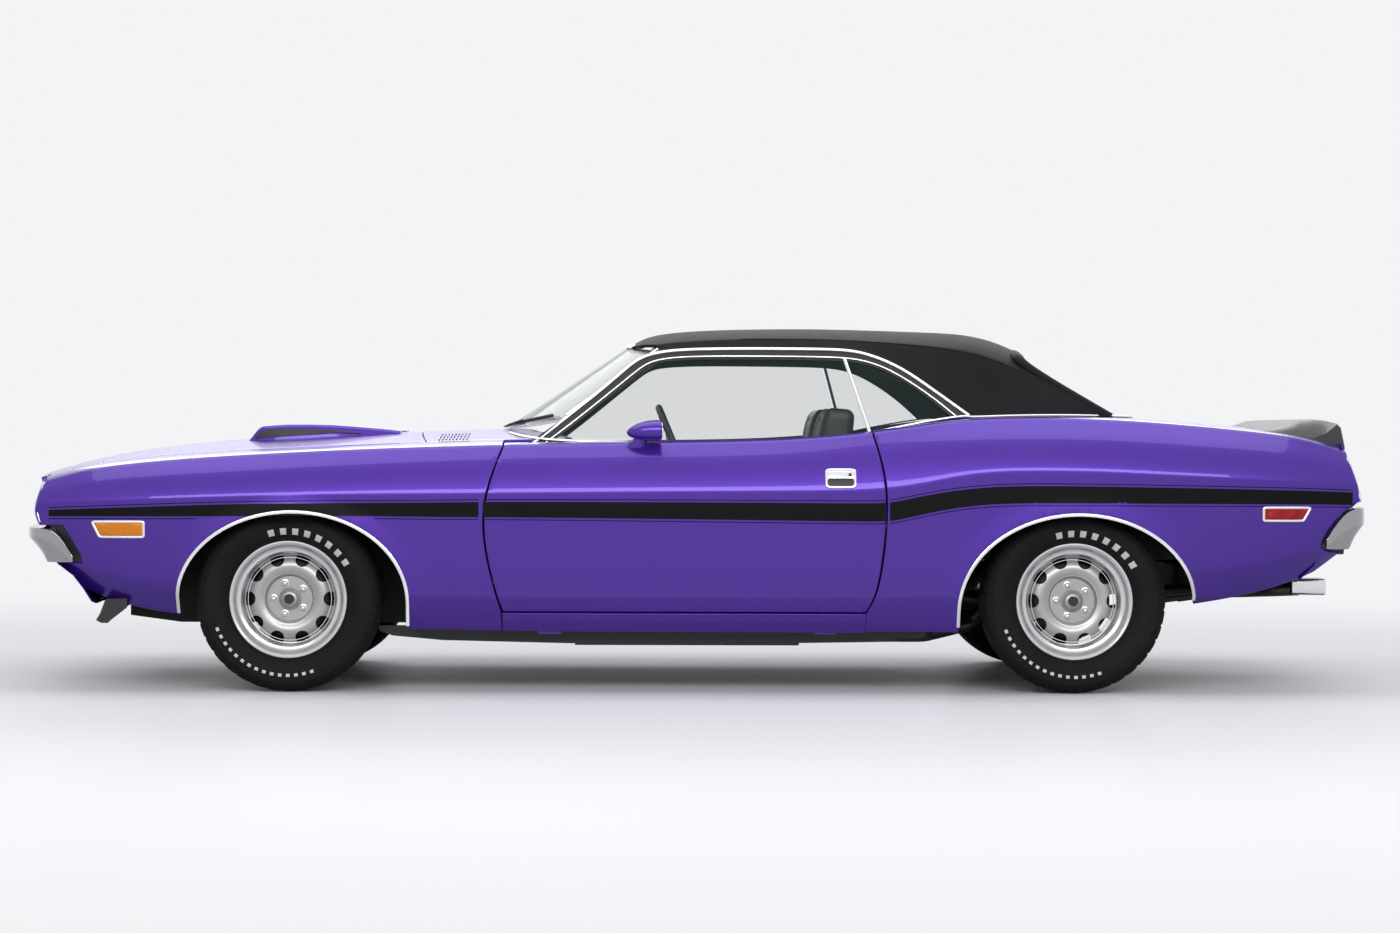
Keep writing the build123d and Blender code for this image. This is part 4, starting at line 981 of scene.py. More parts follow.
roof_half = np.array([roof_station(row) for row in ROOF_LINES])
ROOF_NET = np.concatenate([roof_half[:, :0:-1] * (-1, 1), roof_half], axis=1)
roof_lines = roof_half.shape[1] - 1
roof_x = [row[0] for row in ROOF_LINES]


def roof_skin(xs, across, sink=0.0):
    """Points of the roof at the given x and at line numbers from its centre, sunk into it."""
    where = np.linspace(0, len(roof_x) - 1, 1200)
    rows = smooth(ROOF_NET, np.interp(xs, smooth(np.array(roof_x), where), where))
    points = smooth(rows, np.asarray(across) + roof_lines, axis=1)
    points = np.concatenate(
        [np.broadcast_to(np.reshape(xs, (-1, 1, 1)), (*points.shape[:2], 1)), points], axis=2
    )
    if sink:
        along = np.gradient(points, axis=0)
        over = np.gradient(points, axis=1)
        normal = np.cross(along, over)
        points = points - sink * normal / np.linalg.norm(normal, axis=2, keepdims=True)
    return points


REAR_WINDOW = [
    (0.575, 0.940), (0.522, 1.090), (0.497, 1.150), (0.470, 1.185), (0.420, 1.203), (0.250, 1.217),
    (0.0, 1.222)
]
HEADER = [
    (-0.245, 0.0), (-0.240, 0.15), (-0.228, 0.30), (-0.200, 0.42), (-0.165, 0.50), (-0.128, 0.562),
    (-0.10, 0.62)
]


def grown(outline, by):
    """The rear window's outline moved outwards by a distance."""
    return [(y + by if y else 0.0, z + (by if z > 1.19 else 0)) for y, z in outline]


def window_shape(outline):
    """The whole of the rear window's outline, from its right half."""
    return outline + [(-y, z) for y, z in outline[::-1] if y]


vinyl = Finish("roof_vinyl", Base_Color=(0.007, 0.007, 0.0075), Roughness=0.75, Specular_IOR_Level=0.04)
grain_point = vinyl.place()
cells = vinyl.node("TexVoronoi", Vector=grain_point, Scale=520.0)
creases = vinyl.noise(900, detail=3)
vinyl.set("Base Color", vinyl.blend(vinyl.noise(4, detail=2), (0.011, 0.011, 0.012), (0.020, 0.020, 0.022)))
vinyl.set("Roughness", 0.46 + 0.16 * creases)
vinyl.bump(cells * 0.7 + creases * 0.5, 0.55, 0.0011)

lines = np.linspace(-roof_lines, roof_lines, 85)
roof = sheet("roof_vinyl_skin", roof_skin(stretch(-0.27, 1.70, 0.02), lines))
trim(
    roof, [(x, y) for x, y in HEADER] + [(1.8, 0.9), (1.8, -0.9)] + [(x, -y) for x, y in HEADER[:0:-1]],
    "above"
)
trim(roof, [(-0.3, 1.0), (0.95, 0.90), (0.96, 0.962), (1.9, 0.962), (1.9, 1.4), (-0.3, 1.4)])
trim(roof, window_shape(REAR_WINDOW), "ahead", keep="outside")
hem(roof, depth=0.014, thickness=0.004)
fit(roof, vinyl, "roof_vinyl", "root", "roof")


def along(points, count):
    """A smooth path near a few points."""
    points = np.array(points, float)
    return smooth(points, np.linspace(0, len(points) - 1, count))


def moulding(name, path, out, width, height, parts=8):
    """A bar of oval section along a path, with its flat side facing out."""
    path = np.asarray(path, float)
    out = np.broadcast_to(np.asarray(out, float), path.shape)
    way = np.gradient(path, axis=0)
    way /= np.linalg.norm(way, axis=1, keepdims=True)
    up = out - way * np.sum(out * way, axis=1, keepdims=True)
    up /= np.linalg.norm(up, axis=1, keepdims=True)
    side = np.cross(way, up)
    turns = np.arange(parts) * 2 * math.pi / parts + math.pi / parts
    across = side[:, None] * (width / 2 * np.cos(turns))[:, None]
    outwards = up[:, None] * (height / 2 * np.sin(turns))[:, None]
    return loft(name, path[:, None] + across + outwards, angle=60)


def right_too(piece, finish, slot_name, body, *nodes):
    """Fits a left-hand piece named *_left and its mirror copy."""
    for side, part in (("left", piece), ("right", opposite(piece, piece.name.replace("left", "right")))):
        fit(
            part, finish, slot_name, body.replace("left", side),
            *[node.replace("left", side) for node in nodes]
        )


# Stitched seams: a raised cord of vinyl along each shoulder, from the door's middle to the deck.
seam_xs = np.linspace(0.165, 1.462, 70)
seam = roof_skin(seam_xs, [-6.0])[:, 0]
right_too(moulding("roof_seam_left", seam, (0, -0.6, 0.8), 0.007, 0.005), vinyl, "roof_vinyl", "root")

# Window surrounds: black rubber and pillar trim between the drip rail and the side glass,
# with a bright drip rail over it.
rail = along([(x, -cabin_y(x, z) - 0.003, z) for x, z, _, _ in WINDOW_LINES], 90)
opening = along([(x, -cabin_y(x, z) + 0.004, z) for _, _, x, z in WINDOW_LINES], 90)
inward = np.array([0, 0.012, -0.002])
frame_rings = np.stack([rail, opening, opening + inward, rail + inward * 1.6], axis=1)
right_too(loft("window_frame_left", frame_rings), rubber, "satin_black", "root")
drip = moulding("drip_rail_left", rail + (0, -0.004, 0), (0, -0.9, 0.35), 0.012, 0.010)
right_too(drip, bright, "bright_metal", "root")
reveal_path = opening + 0.30 * (rail - opening) + (0, -0.0035, 0)
reveal = moulding("window_reveal_left", reveal_path, (0, -1, 0.3), 0.0045, 0.004, 6)
right_too(reveal, bright, "bright_metal", "root")

# Windscreen: one curved pane in a bright reveal, between two slim pillars.
glass = Finish(
    "tinted_glass", Base_Color=(0.10, 0.16, 0.15), Roughness=0.03, IOR=1.45, Specular_IOR_Level=0.4
)
bend = glass.node("Fresnel", IOR=1.5)
glass.set("Alpha", 0.06 + bend * 0.30)
glass.set("Roughness", 0.015 + 0.02 * glass.noise(3))


def windscreen_at(share, rise):
    """A point of the windscreen: share of the half width across and share of its height."""
    low = np.array([-0.692 + 0.237 * share**2, 0.715 * share, 0.942 + 0.043 * share**2])
    high = np.array([-0.235 + 0.105 * share**2, 0.560 * share, 1.247 - 0.022 * share**2])
    return low + (high - low) * rise


def pane(name, points, thickness=0.005):
    """A closed sheet of glass through a grid of points."""
    normal = np.cross(np.gradient(points, axis=0), np.gradient(points, axis=1))
    normal /= np.linalg.norm(normal, axis=2, keepdims=True)
    both = np.concatenate(
        [points + normal * thickness / 2, points[:, ::-1] - normal[:, ::-1] * thickness / 2], axis=1
    )
    return loft(name, both)


shares = np.linspace(-1, 1, 41)
screen_grid = np.array(
    [[windscreen_at(share, rise) for share in shares] for rise in np.linspace(-0.05, 1.02, 9)]
)
screen = pane("windscreen", screen_grid + (-0.002, 0, 0.003))
fit(screen, glass, "clear_glass", "root", "fixed_glass")
# the top trim ends short of the pillars
top_line = np.array([windscreen_at(share, 1.0) for share in 0.94 * shares]) + (-0.012, 0, 0.003)
fit(moulding("windscreen_top_trim", top_line, (-0.7, 0, 0.7), 0.020, 0.008), bright, "bright_metal", "root")
side_line = np.array([windscreen_at(-1.0, rise) for rise in np.linspace(-0.015, 1.0, 24)])
side_line = side_line + (-0.006, -0.010, 0.004)
side_trim = moulding("windscreen_side_trim_left", side_line, (-0.5, -0.7, 0.4), 0.012, 0.008)
right_too(side_trim, bright, "bright_metal", "root")
pillar_front = np.array([windscreen_at(-1.0, rise) for rise in np.linspace(-0.30, 1.04, 24)])
pillar_back = along([(x, -cabin_y(x, z), z) for x, z, _, _ in WINDOW_LINES[:7]], 24)
pillar_rings = np.stack([
    pillar_front + (-0.004, -0.006, 0.002), pillar_back + (0, 0.001, 0), pillar_back + (0.02, 0.03, -0.01),
    pillar_front + (0.02, 0.02, -0.012),
], axis=1)
right_too(loft("windscreen_pillar_left", pillar_rings), rubber, "satin_black", "root")

# Side glass: a door pane that moves with its door, and a fixed quarter pane behind a bright bar.
bar_low, bar_high = (0.622, 0.926), (0.540, 1.195)


def thickened(piece, thickness=0.005):
    """Gives a sheet of glass its thickness, half to each side."""
    bpy.ops.object.select_all(action="DESELECT")
    piece.select_set(True)
    bpy.context.view_layer.objects.active = piece
    thick = piece.modifiers.new("thick", "SOLIDIFY")
    thick.thickness, thick.offset = thickness, 0
    bpy.ops.object.modifier_apply(modifier="thick")
    return soften(piece)


def side_pane(name, outline):
    """A pane in the leaning side plane, cut to an outline seen from the side."""
    xs, zs = stretch(-0.62, 0.96, 0.03), stretch(0.855, 1.205, 0.03)
    points = np.array([[(x, -float(cabin_y(x, z)) + 0.007, z) for z in zs] for x in xs])
    return thickened(trim(sheet(name, points), outline))


upper = [(x, z) for _, _, x, z in WINDOW_LINES]
door_top = [(x, z + 0.004) for x, z in upper[1:10]]
door_pane = side_pane(
    "door_pane_left", door_top + [(0.528, 1.192), (0.610, 0.930), (0.610, 0.875), (-0.530, 0.875)]
)
right_too(door_pane, glass, "clear_glass", "door_left", "door_glass_left")
quarter_pane = side_pane(
    "quarter_pane_left",
    [(0.548, 1.186), (0.570, 1.188)] + [(x, z + 0.004) for x, z in upper[11:15]]
    + [(0.915, 0.975), (0.632, 0.905)],
)
right_too(quarter_pane, glass, "clear_glass", "root")
bar_path = np.array([(x, -float(cabin_y(x, z)) - 0.001, z) for x, z in (bar_low, (0.581, 1.06), bar_high)])
bar = moulding("window_bar_left", along(bar_path, 12), (0, -1, 0.3), 0.014, 0.010)
right_too(bar, bright, "bright_metal", "root")

# Rear window: a curved pane set into the vinyl, with a bright reveal round it.
rear_lines = np.linspace(-roof_lines + 5, roof_lines - 5, 45)
rear_grid = roof_skin(stretch(1.10, 1.70, 0.025), rear_lines, 0.022)
rear_pane = sheet("rear_window", rear_grid)
trim(rear_pane, window_shape(grown(REAR_WINDOW, 0.012)), "ahead")
trim(rear_pane, [(1.0, 0.955), (1.9, 0.955), (1.9, 1.4), (1.0, 1.4)])
fit(thickened(rear_pane), glass, "clear_glass", "root")


def on_roof(y, z, sink=0.010):
    """The point of the roof's rear slope that lies at y and z."""
    xs = np.linspace(1.08, 1.70, 200)
    grid = roof_skin(xs, np.linspace(0, roof_lines, 60), sink)
    heights = [np.interp(abs(y), row[:, 1], row[:, 2]) for row in grid]
    return (float(np.interp(-z, -np.array(heights), xs)), y, z)


half_reveal = [on_roof(y, z) for y, z in REAR_WINDOW[1:]]
foot = on_roof(0.548, 0.998)
reveal_line = [foot] + half_reveal + [(x, -y, z) for x, y, z in half_reveal[-2::-1]]
reveal_line += [(foot[0], -foot[1], foot[2])]
rear_trim = moulding(
    "rear_window_trim", along(reveal_line, 70) + (0.002, 0, 0.002), (0.6, 0, 0.8), 0.010, 0.006
)
fit(rear_trim, bright, "bright_metal", "root")

roll_line = [
    on_roof(y + 0.022, z, sink)
    for (y, z), sink in zip(REAR_WINDOW[1:6], (0.004, -0.004, -0.010, -0.011, 0.010))
]
roll_foot = on_roof(0.585, 0.985, 0.004)
roll_path = along([roll_foot] + roll_line, 40) * (1, -1, 1)
roll = moulding("sail_roll_left", roll_path, (0.5, -0.2, 0.8), 0.055, 0.036, 12)
right_too(roll, vinyl, "roof_vinyl", "root")

# Belt and sail mouldings: thin bright strips along the door tops and round the foot of the roof.
BELT = [(-0.667, 0.921), (-0.592, 0.899), (-0.342, 0.885), (0.371, 0.890), (0.549, 0.910), (0.618, 0.924)]
belt_path = along([(x, -cabin_y(x, z) - 0.012, z + 0.002) for x, z in BELT], 40)
right_too(
    moulding("belt_trim_left", belt_path, (0, -1, 0.5), 0.010, 0.008), bright, "bright_metal", "door_left"
)
REAR_BELT = [(0.645, 0.930), (0.700, 0.942), (0.755, 0.953), (0.850, 0.972), (0.940, 0.985), (0.984, 0.989)]
rear_belt = along([(x, -cabin_y(x, z) - 0.008, z + 0.001) for x, z in REAR_BELT], 20)
SAIL_FOOT = [
    (0.984, 0.712), (1.10, 0.687), (1.25, 0.655), (1.38, 0.627), (1.462, 0.606), (1.492, 0.588),
    (1.55, 0.50), (1.62, 0.34), (1.658, 0.17), (1.668, 0.0)
]
sail_half = [(x, -y - 0.004, top_z(x, y) + 0.004) for x, y in SAIL_FOOT]
sail_line = along(
    list(rear_belt[::3]) + sail_half + [(x, -y, z) for x, y, z in sail_half[-2::-1]]
    + [(x, -y, z) for x, y, z in rear_belt[::-3]],
    150
)
fit(moulding("sail_trim", sail_line, (0, 0, 1), 0.011, 0.009), bright, "bright_metal", "root")

# Wheels: pressed steel discs in silver, ten windows each, with a polished trim ring round the
# rim, a silver cap and five polished nuts. A brake drum sits behind each disc.
wheel_silver = Finish("wheel_silver", Metallic=0.55, Roughness=0.35)
brushing = wheel_silver.noise(900, detail=2)
wheel_silver.set(
    "Base Color",
    wheel_silver.blend(wheel_silver.noise(9, detail=3), (0.36, 0.36, 0.36), (0.46, 0.46, 0.46))
)
wheel_silver.set("Roughness", 0.30 + 0.12 * brushing)
polished = Finish("polished_ring", Metallic=0.6, Roughness=0.2)
polished.set(
    "Base Color", polished.blend(polished.noise(9, detail=3), (0.62, 0.62, 0.63), (0.70, 0.70, 0.71))
)
polished.set("Roughness", 0.16 + 0.10 * polished.noise(40, detail=2))
iron = Finish("cast_iron", Metallic=0.6, Roughness=0.6)
iron_grain = iron.noise(160, detail=4)
iron.set("Base Color", iron.blend(iron_grain, (0.018, 0.018, 0.018), (0.06, 0.055, 0.05)))
iron.bump(iron_grain, 0.4, 0.001)

wheel_turns, turned_corner = 120, 30


def turned(name, profile, turns=wheel_turns):
    """A ring or disc turned about the wheel's axle from radius and depth behind the outer face."""
    angles = np.arange(turns + 1) * 2 * math.pi / turns
    points = np.array([[(r * math.cos(a), d, r * math.sin(a)) for r, d in profile] for a in angles])
    return soften(welded(sheet(name, closed_round(points))), turned_corner)


DISC = [
    (0.0, 0.072), (0.040, 0.0715), (0.080, 0.0715), (0.0825, 0.0750), (0.0850, 0.0750), (0.0868, 0.0600),
    (0.0885, 0.0565), (0.0915, 0.0560), (0.097, 0.0535), (0.107, 0.0495), (0.120, 0.0490),
    (0.131, 0.0530), (0.140, 0.0590), (0.149, 0.0665), (0.156, 0.0700), (0.1600, 0.0690), (0.1625, 0.060),
    (0.1640, 0.046), (0.168, 0.036), (0.176, 0.030), (0.184, 0.026), (0.191, 0.016), (0.196, 0.008),
    (0.203, 0.004), (0.206, 0.005), (0.206, 0.010), (0.198, 0.012), (0.190, 0.030), (0.182, 0.060),
    (0.174, 0.075), (0.174, 0.105), (0.184, 0.135), (0.190, 0.160), (0.203, 0.166), (0.206, 0.170),
    (0.206, 0.177), (0.200, 0.176), (0.186, 0.168), (0.178, 0.140), (0.168, 0.108), (0.166, 0.080),
    (0.158, 0.0745), (0.149, 0.0715), (0.138, 0.063), (0.125, 0.055), (0.107, 0.0545), (0.097, 0.059),
    (0.0925, 0.068), (0.088, 0.0765), (0.040, 0.0765), (0.0, 0.0765),
]
TRIM_RING = [
    (0.1645, 0.043), (0.1675, 0.0325), (0.171, 0.0285), (0.178, 0.0262), (0.184, 0.0232), (0.188, 0.0175),
    (0.192, 0.0095), (0.197, 0.0030), (0.203, 0.0002), (0.2070, 0.0006), (0.2082, 0.0030),
    (0.2075, 0.0060), (0.203, 0.0035), (0.198, 0.0060), (0.1935, 0.0120), (0.1895, 0.0195),
    (0.185, 0.0253), (0.178, 0.0280), (0.172, 0.0305), (0.1665, 0.043),
]
CAP = [
    (0.0, 0.0400), (0.012, 0.0406), (0.022, 0.0428), (0.029, 0.0470), (0.0325, 0.0530), (0.034, 0.0600),
    (0.0385, 0.0635), (0.0400, 0.0675), (0.0400, 0.0720), (0.0, 0.0720),
]
DRUM = [
    (0.0, 0.083), (0.128, 0.083), (0.138, 0.090), (0.138, 0.150), (0.143, 0.152), (0.143, 0.160),
    (0.05, 0.166), (0.0, 0.166)
]
window_count, window_circle, window_half = 10, 0.1455, 0.0255
nut_count, nut_circle = 5, 0.0575

disc = turned("wheel_disc", DISC)
cutters = []
for k in range(window_count):
    turn = 2 * math.pi * k / window_count
    arc = [math.pi * (0.5 + j / 14) for j in range(15)]
    outline = [(window_half * 0.98 * math.cos(a), window_half * math.sin(a)) for a in arc]
    outline += [(0.0095, -window_half * 0.93), (0.0125, 0.0), (0.0095, window_half * 0.93)]
    rings = []
    for depth in (0.02, 0.2):
        ring = []
        for out, across in outline:
            r = window_circle + out
            ring.append((
                r * math.cos(turn) - across * math.sin(turn), depth,
                r * math.sin(turn) + across * math.cos(turn)
            ))
        rings.append(ring)
    cutters.append(loft(f"window_cutter_{k}", rings))
cutter = joined(cutters)
bpy.ops.object.select_all(action="DESELECT")
# only the disc's own web is cut: its barrel is wider than the cutters reach
cut = disc.modifiers.new("windows", "BOOLEAN")
cut.operation, cut.solver, cut.object = "DIFFERENCE", "EXACT", cutter
bpy.context.view_layer.objects.active = disc
disc.select_set(True)
bpy.ops.object.modifier_apply(modifier="windows")
bpy.data.objects.remove(cutter)
soften(disc, turned_corner)
ring = turned("wheel_trim_ring", TRIM_RING)
cap = turned("wheel_cap", CAP, 48)
drum = turned("wheel_drum", DRUM, 48)
line_ring = turned(
    "wheel_line",
    [(0.1480 + 0.0016 * math.cos(a), 0.0645 + 0.0016 * math.sin(a)) for a in np.arange(6) * math.pi / 3]
)
nut_rings = []
for height, size in (
    (0.0725, 0.0142), (0.0700, 0.0142), (0.0690, 0.0108), (0.0600, 0.0108), (0.0570, 0.0092),
    (0.0545, 0.0055), (0.0535, 0.001)
):
    nut_rings.append(
        [(size * math.cos(a), height, size * math.sin(a)) for a in np.arange(12) * math.pi / 6]
    )
nuts = []
for k in range(nut_count):
    turn = 2 * math.pi * k / nut_count + math.radians(90 + 18)
    nut = loft(f"wheel_nut_{k}", nut_rings, angle=30)
    nut.data.transform(Matrix.Translation((nut_circle * math.cos(turn), 0, nut_circle * math.sin(turn))))
    nuts.append(nut)
nuts = joined(nuts)

# Tyres: black radials with cut tread, and a row of plain raised white bars on the side wall.
SIDE_WALL = [
    (0.2075, 0.078), (0.2085, 0.0855), (0.214, 0.0915), (0.2165, 0.0905), (0.2190, 0.0945),
    (0.226, 0.1005), (0.238, 0.1085), (0.252, 0.1145), (0.266, 0.1173), (0.280, 0.1165), (0.291, 0.1135),
    (0.2935, 0.1140), (0.2960, 0.1120), (0.304, 0.1075),
]
TREAD = [
    (0.3125, 0.1030), (0.3190, 0.0950), (0.3235, 0.0850), (0.3255, 0.0780), (0.3185, 0.0765),
    (0.3185, 0.0705), (0.3262, 0.0690), (0.3272, 0.0470), (0.3195, 0.0455), (0.3195, 0.0385),
    (0.3276, 0.0370), (0.3280, 0.0100), (0.3200, 0.0090), (0.3200, 0.0035), (0.3280, 0.0025),
]
half_profile = SIDE_WALL + TREAD
tyre_profile = half_profile + [(r, -y) for r, y in half_profile[::-1]]
tyre_profile += [
    (0.2085, -0.070), (0.235, -0.090), (0.285, -0.095), (0.305, -0.070), (0.307, 0.0), (0.305, 0.070),
    (0.285, 0.095), (0.235, 0.090), (0.2085, 0.070)
]
tread_steps = 288
tyre_points = np.zeros((tread_steps + 1, len(tyre_profile) + 1, 3))
for i in range(tread_steps + 1):
    angle = 2 * math.pi * i / tread_steps
    zigzag = 0.0028 * abs((i % 8) / 4 - 1) - 0.0014
    for j, (r, y) in enumerate(tyre_profile + tyre_profile[:1]):
        if r > 0.3175 and abs(y) < 0.081:
            y += zigzag
            if i % 8 == 4 and r > 0.322 and abs(y) > 0.047:
                r -= 0.004
        elif 0.3115 < r and abs(y) < 0.104 and i % 4 < 1:
            r -= 0.0045
        tyre_points[i, j] = (r * math.cos(angle), y, r * math.sin(angle))
tyre = soften(welded(sheet("tyre", tyre_points), dissolve=False), turned_corner)

tyre_black = Finish("tyre_black", Base_Color=(0.010, 0.010, 0.010), Roughness=0.75, Specular_IOR_Level=0.1)
dust = tyre_black.noise(7, detail=4)
tyre_black.set("Base Color", tyre_black.blend(dust, (0.0095, 0.0095, 0.0095), (0.019, 0.0188, 0.0185)))
tyre_black.set("Roughness", 0.58 + 0.22 * tyre_black.noise(45, detail=3))
tyre_black.bump(tyre_black.noise(1500, detail=1), 0.15, 0.0004)
tyre_white = Finish("tyre_white", Base_Color=(0.78, 0.78, 0.76), Roughness=0.6)
tyre_white.set(
    "Base Color", tyre_white.blend(tyre_white.noise(90, detail=3), (0.70, 0.70, 0.68), (0.84, 0.84, 0.82))
)


def mark_patches(first, last, count, r_from, r_to, share):
    """Plain bars on the side wall, evenly spaced between two angles seen from outside."""
    wall_r, wall_y = zip(*[(r, y) for r, y in SIDE_WALL[3:]])
    patches = []
    for k in range(count):
        middle = math.radians(first + (last - first) * (k + 0.5) / count)
        spread = abs(math.radians(last - first)) / count * share / 2
        outer, under = [], []
        for turn in np.linspace(middle - spread, middle + spread, 5):
            for store, lift in ((outer, 0.0007), (under, -0.0012)):
                store.append([
                    (r * math.cos(turn), float(np.interp(r, wall_r, wall_y)) + lift, r * math.sin(turn))
                    for r in np.linspace(r_from, r_to, 4)
                ])
        patches.append(
            loft(
                f"tyre_bar_{first}_{k}", [top_row + low_row[::-1] for top_row, low_row in zip(outer, under)]
            )
        )
    return patches


bars = mark_patches(109, 28, 8, 0.231, 0.254, 0.5) + mark_patches(200, 292, 15, 0.262, 0.273, 0.45)
bars = joined(bars)

WHEEL_PARTS = [
    (disc, "disc", wheel_silver, "wheel_paint"), (ring, "trim_ring", polished, "bright_metal"),
    (cap, "cap", wheel_silver, "bright_metal"), (drum, "drum", iron, "underbody"),
    (line_ring, "line", bright, "bright_metal"),
    (nuts, "nuts", polished, "bright_metal"), (tyre, "tyre", tyre_black, "tyre"),
    (bars, "white_bars", tyre_white, "tyre"),
]
for end in ("front", "rear"):
    for side, sign in (("left", -1), ("right", 1)):
        low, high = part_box(f"wheel_{end}_{side}")
        face_y = sign * max(abs(low[1]), abs(high[1]))
        tyre_low, tyre_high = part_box(f"tyre_{end}_{side}")
        centre = Vector(((low[0] + high[0]) / 2, 0, (low[2] + high[2]) / 2))
        for part, label, finish, slot_name in WHEEL_PARTS:
            piece = part.copy()
            piece.data = part.data.copy()
            piece.name = piece.data.name = f"{label}_{end}_{side}"
            bpy.context.scene.collection.objects.link(piece)
            if label in ("tyre", "white_bars"):
                place = Matrix.Translation((centre.x, (tyre_low[1] + tyre_high[1]) / 2, centre.z))
                flip = Matrix.Scale(sign, 4, (0, 1, 0))
                turn_over = sign < 0
            else:
                place = Matrix.Translation((centre.x, face_y, centre.z))
                flip = Matrix.Scale(-sign, 4, (0, 1, 0))
                turn_over = sign > 0
            piece.data.transform(place @ flip)
            if turn_over:
                piece.data.flip_normals()
            nodes = {"disc": (f"wheel_{end}_{side}",), "tyre": (f"tyre_{end}_{side}",)}.get(label, ())
            fit(piece, finish, slot_name, f"wheel_{end}_{side}", *nodes)
for part, *_ in WHEEL_PARTS:
    bpy.data.objects.remove(part)


# Wheel opening mouldings: a bright bead along the edge of each wheel opening.
def skin_y(x, z):
    """How far out the body's side lies at the given x and z, with its flares."""
    row = skin(np.array([x]), np.linspace(-SILL, -EDGE - 3.2, 120))[0]
    return float(np.interp(z, row[:, 2], row[:, 1]))


for arch, end, feet in ((FRONT_ARCH, "front", (0.280, 0.238)), (REAR_ARCH, "rear", (0.238, 0.336))):
    curve = [(x, z) for x, z in arch_line(arch, 0.002, 41)[1:-1] if z > feet[x > arch[0]] + 0.004]
    outline = [(curve[0][0], feet[0])] + curve + [(curve[-1][0], feet[1])]
    path = np.array([(x, skin_y(x, max(z, feet[0])) - 0.0005, z) for x, z in outline])
    lip = moulding(f"arch_trim_{end}_left", path, (0, -1, 0), 0.0125, 0.007)
    right_too(lip, bright, "bright_metal", "root")

# Bumpers: chromed steel blades that wrap round the corners, front and rear.
bumper_chrome = Finish("bumper_chrome", Metallic=1.0, Roughness=0.08)
bumper_chrome.set(
    "Base Color",
    bumper_chrome.blend(bumper_chrome.noise(4, detail=3), (0.30, 0.30, 0.31), (0.38, 0.38, 0.39))
)
bumper_chrome.set("Roughness", 0.05 + 0.07 * bumper_chrome.noise(40, detail=4))
# x, y, top z, tip z, bottom z, depth
FRONT_BUMPER = [
    (-2.4290, 0.00, 0.583, 0.556, 0.470, 0.085), (-2.4265, 0.22, 0.583, 0.556, 0.470, 0.085),
    (-2.4180, 0.43, 0.583, 0.556, 0.468, 0.083), (-2.4010, 0.62, 0.583, 0.555, 0.465, 0.080),
    (-2.3790, 0.76, 0.582, 0.552, 0.461, 0.078), (-2.3560, 0.83, 0.581, 0.550, 0.460, 0.066),
    (-2.3270, 0.868, 0.580, 0.548, 0.459, 0.045), (-2.2900, 0.886, 0.578, 0.540, 0.459, 0.026),
    (-2.2550, 0.892, 0.560, 0.520, 0.459, 0.016), (-2.2250, 0.893, 0.520, 0.490, 0.459, 0.010),
    (-2.2000, 0.892, 0.480, 0.470, 0.460, 0.006),
]
REAR_BUMPER = [
    (2.4290, 0.00, 0.668, 0.628, 0.530, 0.080), (2.4280, 0.22, 0.668, 0.628, 0.530, 0.080),
    (2.4250, 0.43, 0.668, 0.626, 0.528, 0.078), (2.4180, 0.62, 0.668, 0.622, 0.525, 0.076),
    (2.4060, 0.76, 0.667, 0.616, 0.522, 0.072), (2.3890, 0.83, 0.667, 0.612, 0.520, 0.062),
    (2.3640, 0.868, 0.666, 0.606, 0.519, 0.044), (2.3300, 0.888, 0.660, 0.598, 0.518, 0.026),
    (2.2950, 0.895, 0.634, 0.585, 0.518, 0.016), (2.2650, 0.896, 0.590, 0.555, 0.519, 0.010),
    (2.2420, 0.895, 0.552, 0.535, 0.520, 0.006),
]


def bumper(name, rows):
    """A wrap-round blade with a rolled top, a forward edge and a face that slopes back below it."""
    rows = np.array([(x, -y, *rest) for x, y, *rest in rows[:0:-1]] + list(rows))
    where = np.linspace(0, len(rows) - 1, 120)
    rows = smooth(rows, where)
    way = np.gradient(rows[:, :2], axis=0)
    way /= np.linalg.norm(way, axis=1, keepdims=True)
    out = np.stack([way[:, 1], -way[:, 0]], axis=1) * np.sign(rows[len(rows) // 2, 0])
    rings = []
    for (x, y, high, tip, low, depth), (nx, ny) in zip(rows, out):
        profile = [
            (-depth, high - 0.004), (-0.8 * depth, high), (-0.16 * depth, high),
            (-0.05 * depth, high - 0.002),
            (-0.01 * depth, high - 0.008), (0.0, tip + 0.006), (0.0, tip - 0.002),
            (-0.04 * depth, tip - 0.010),
            (-0.45 * depth, 0.5 * (tip + low)), (-0.86 * depth, low + 0.004), (-0.93 * depth, low),
            (-depth, low + 0.002), (-depth, 0.5 * (high + low)),
        ]
        rings.append([(x + nx * d, y + ny * d, z) for d, z in profile])
    return loft(name, rings, angle=30)


fit(bumper("bumper_blade_front", FRONT_BUMPER), bumper_chrome, "bumper_metal", "root", "bumper_front")
fit(bumper("bumper_blade_rear", REAR_BUMPER), bumper_chrome, "bumper_metal", "root", "bumper_rear")

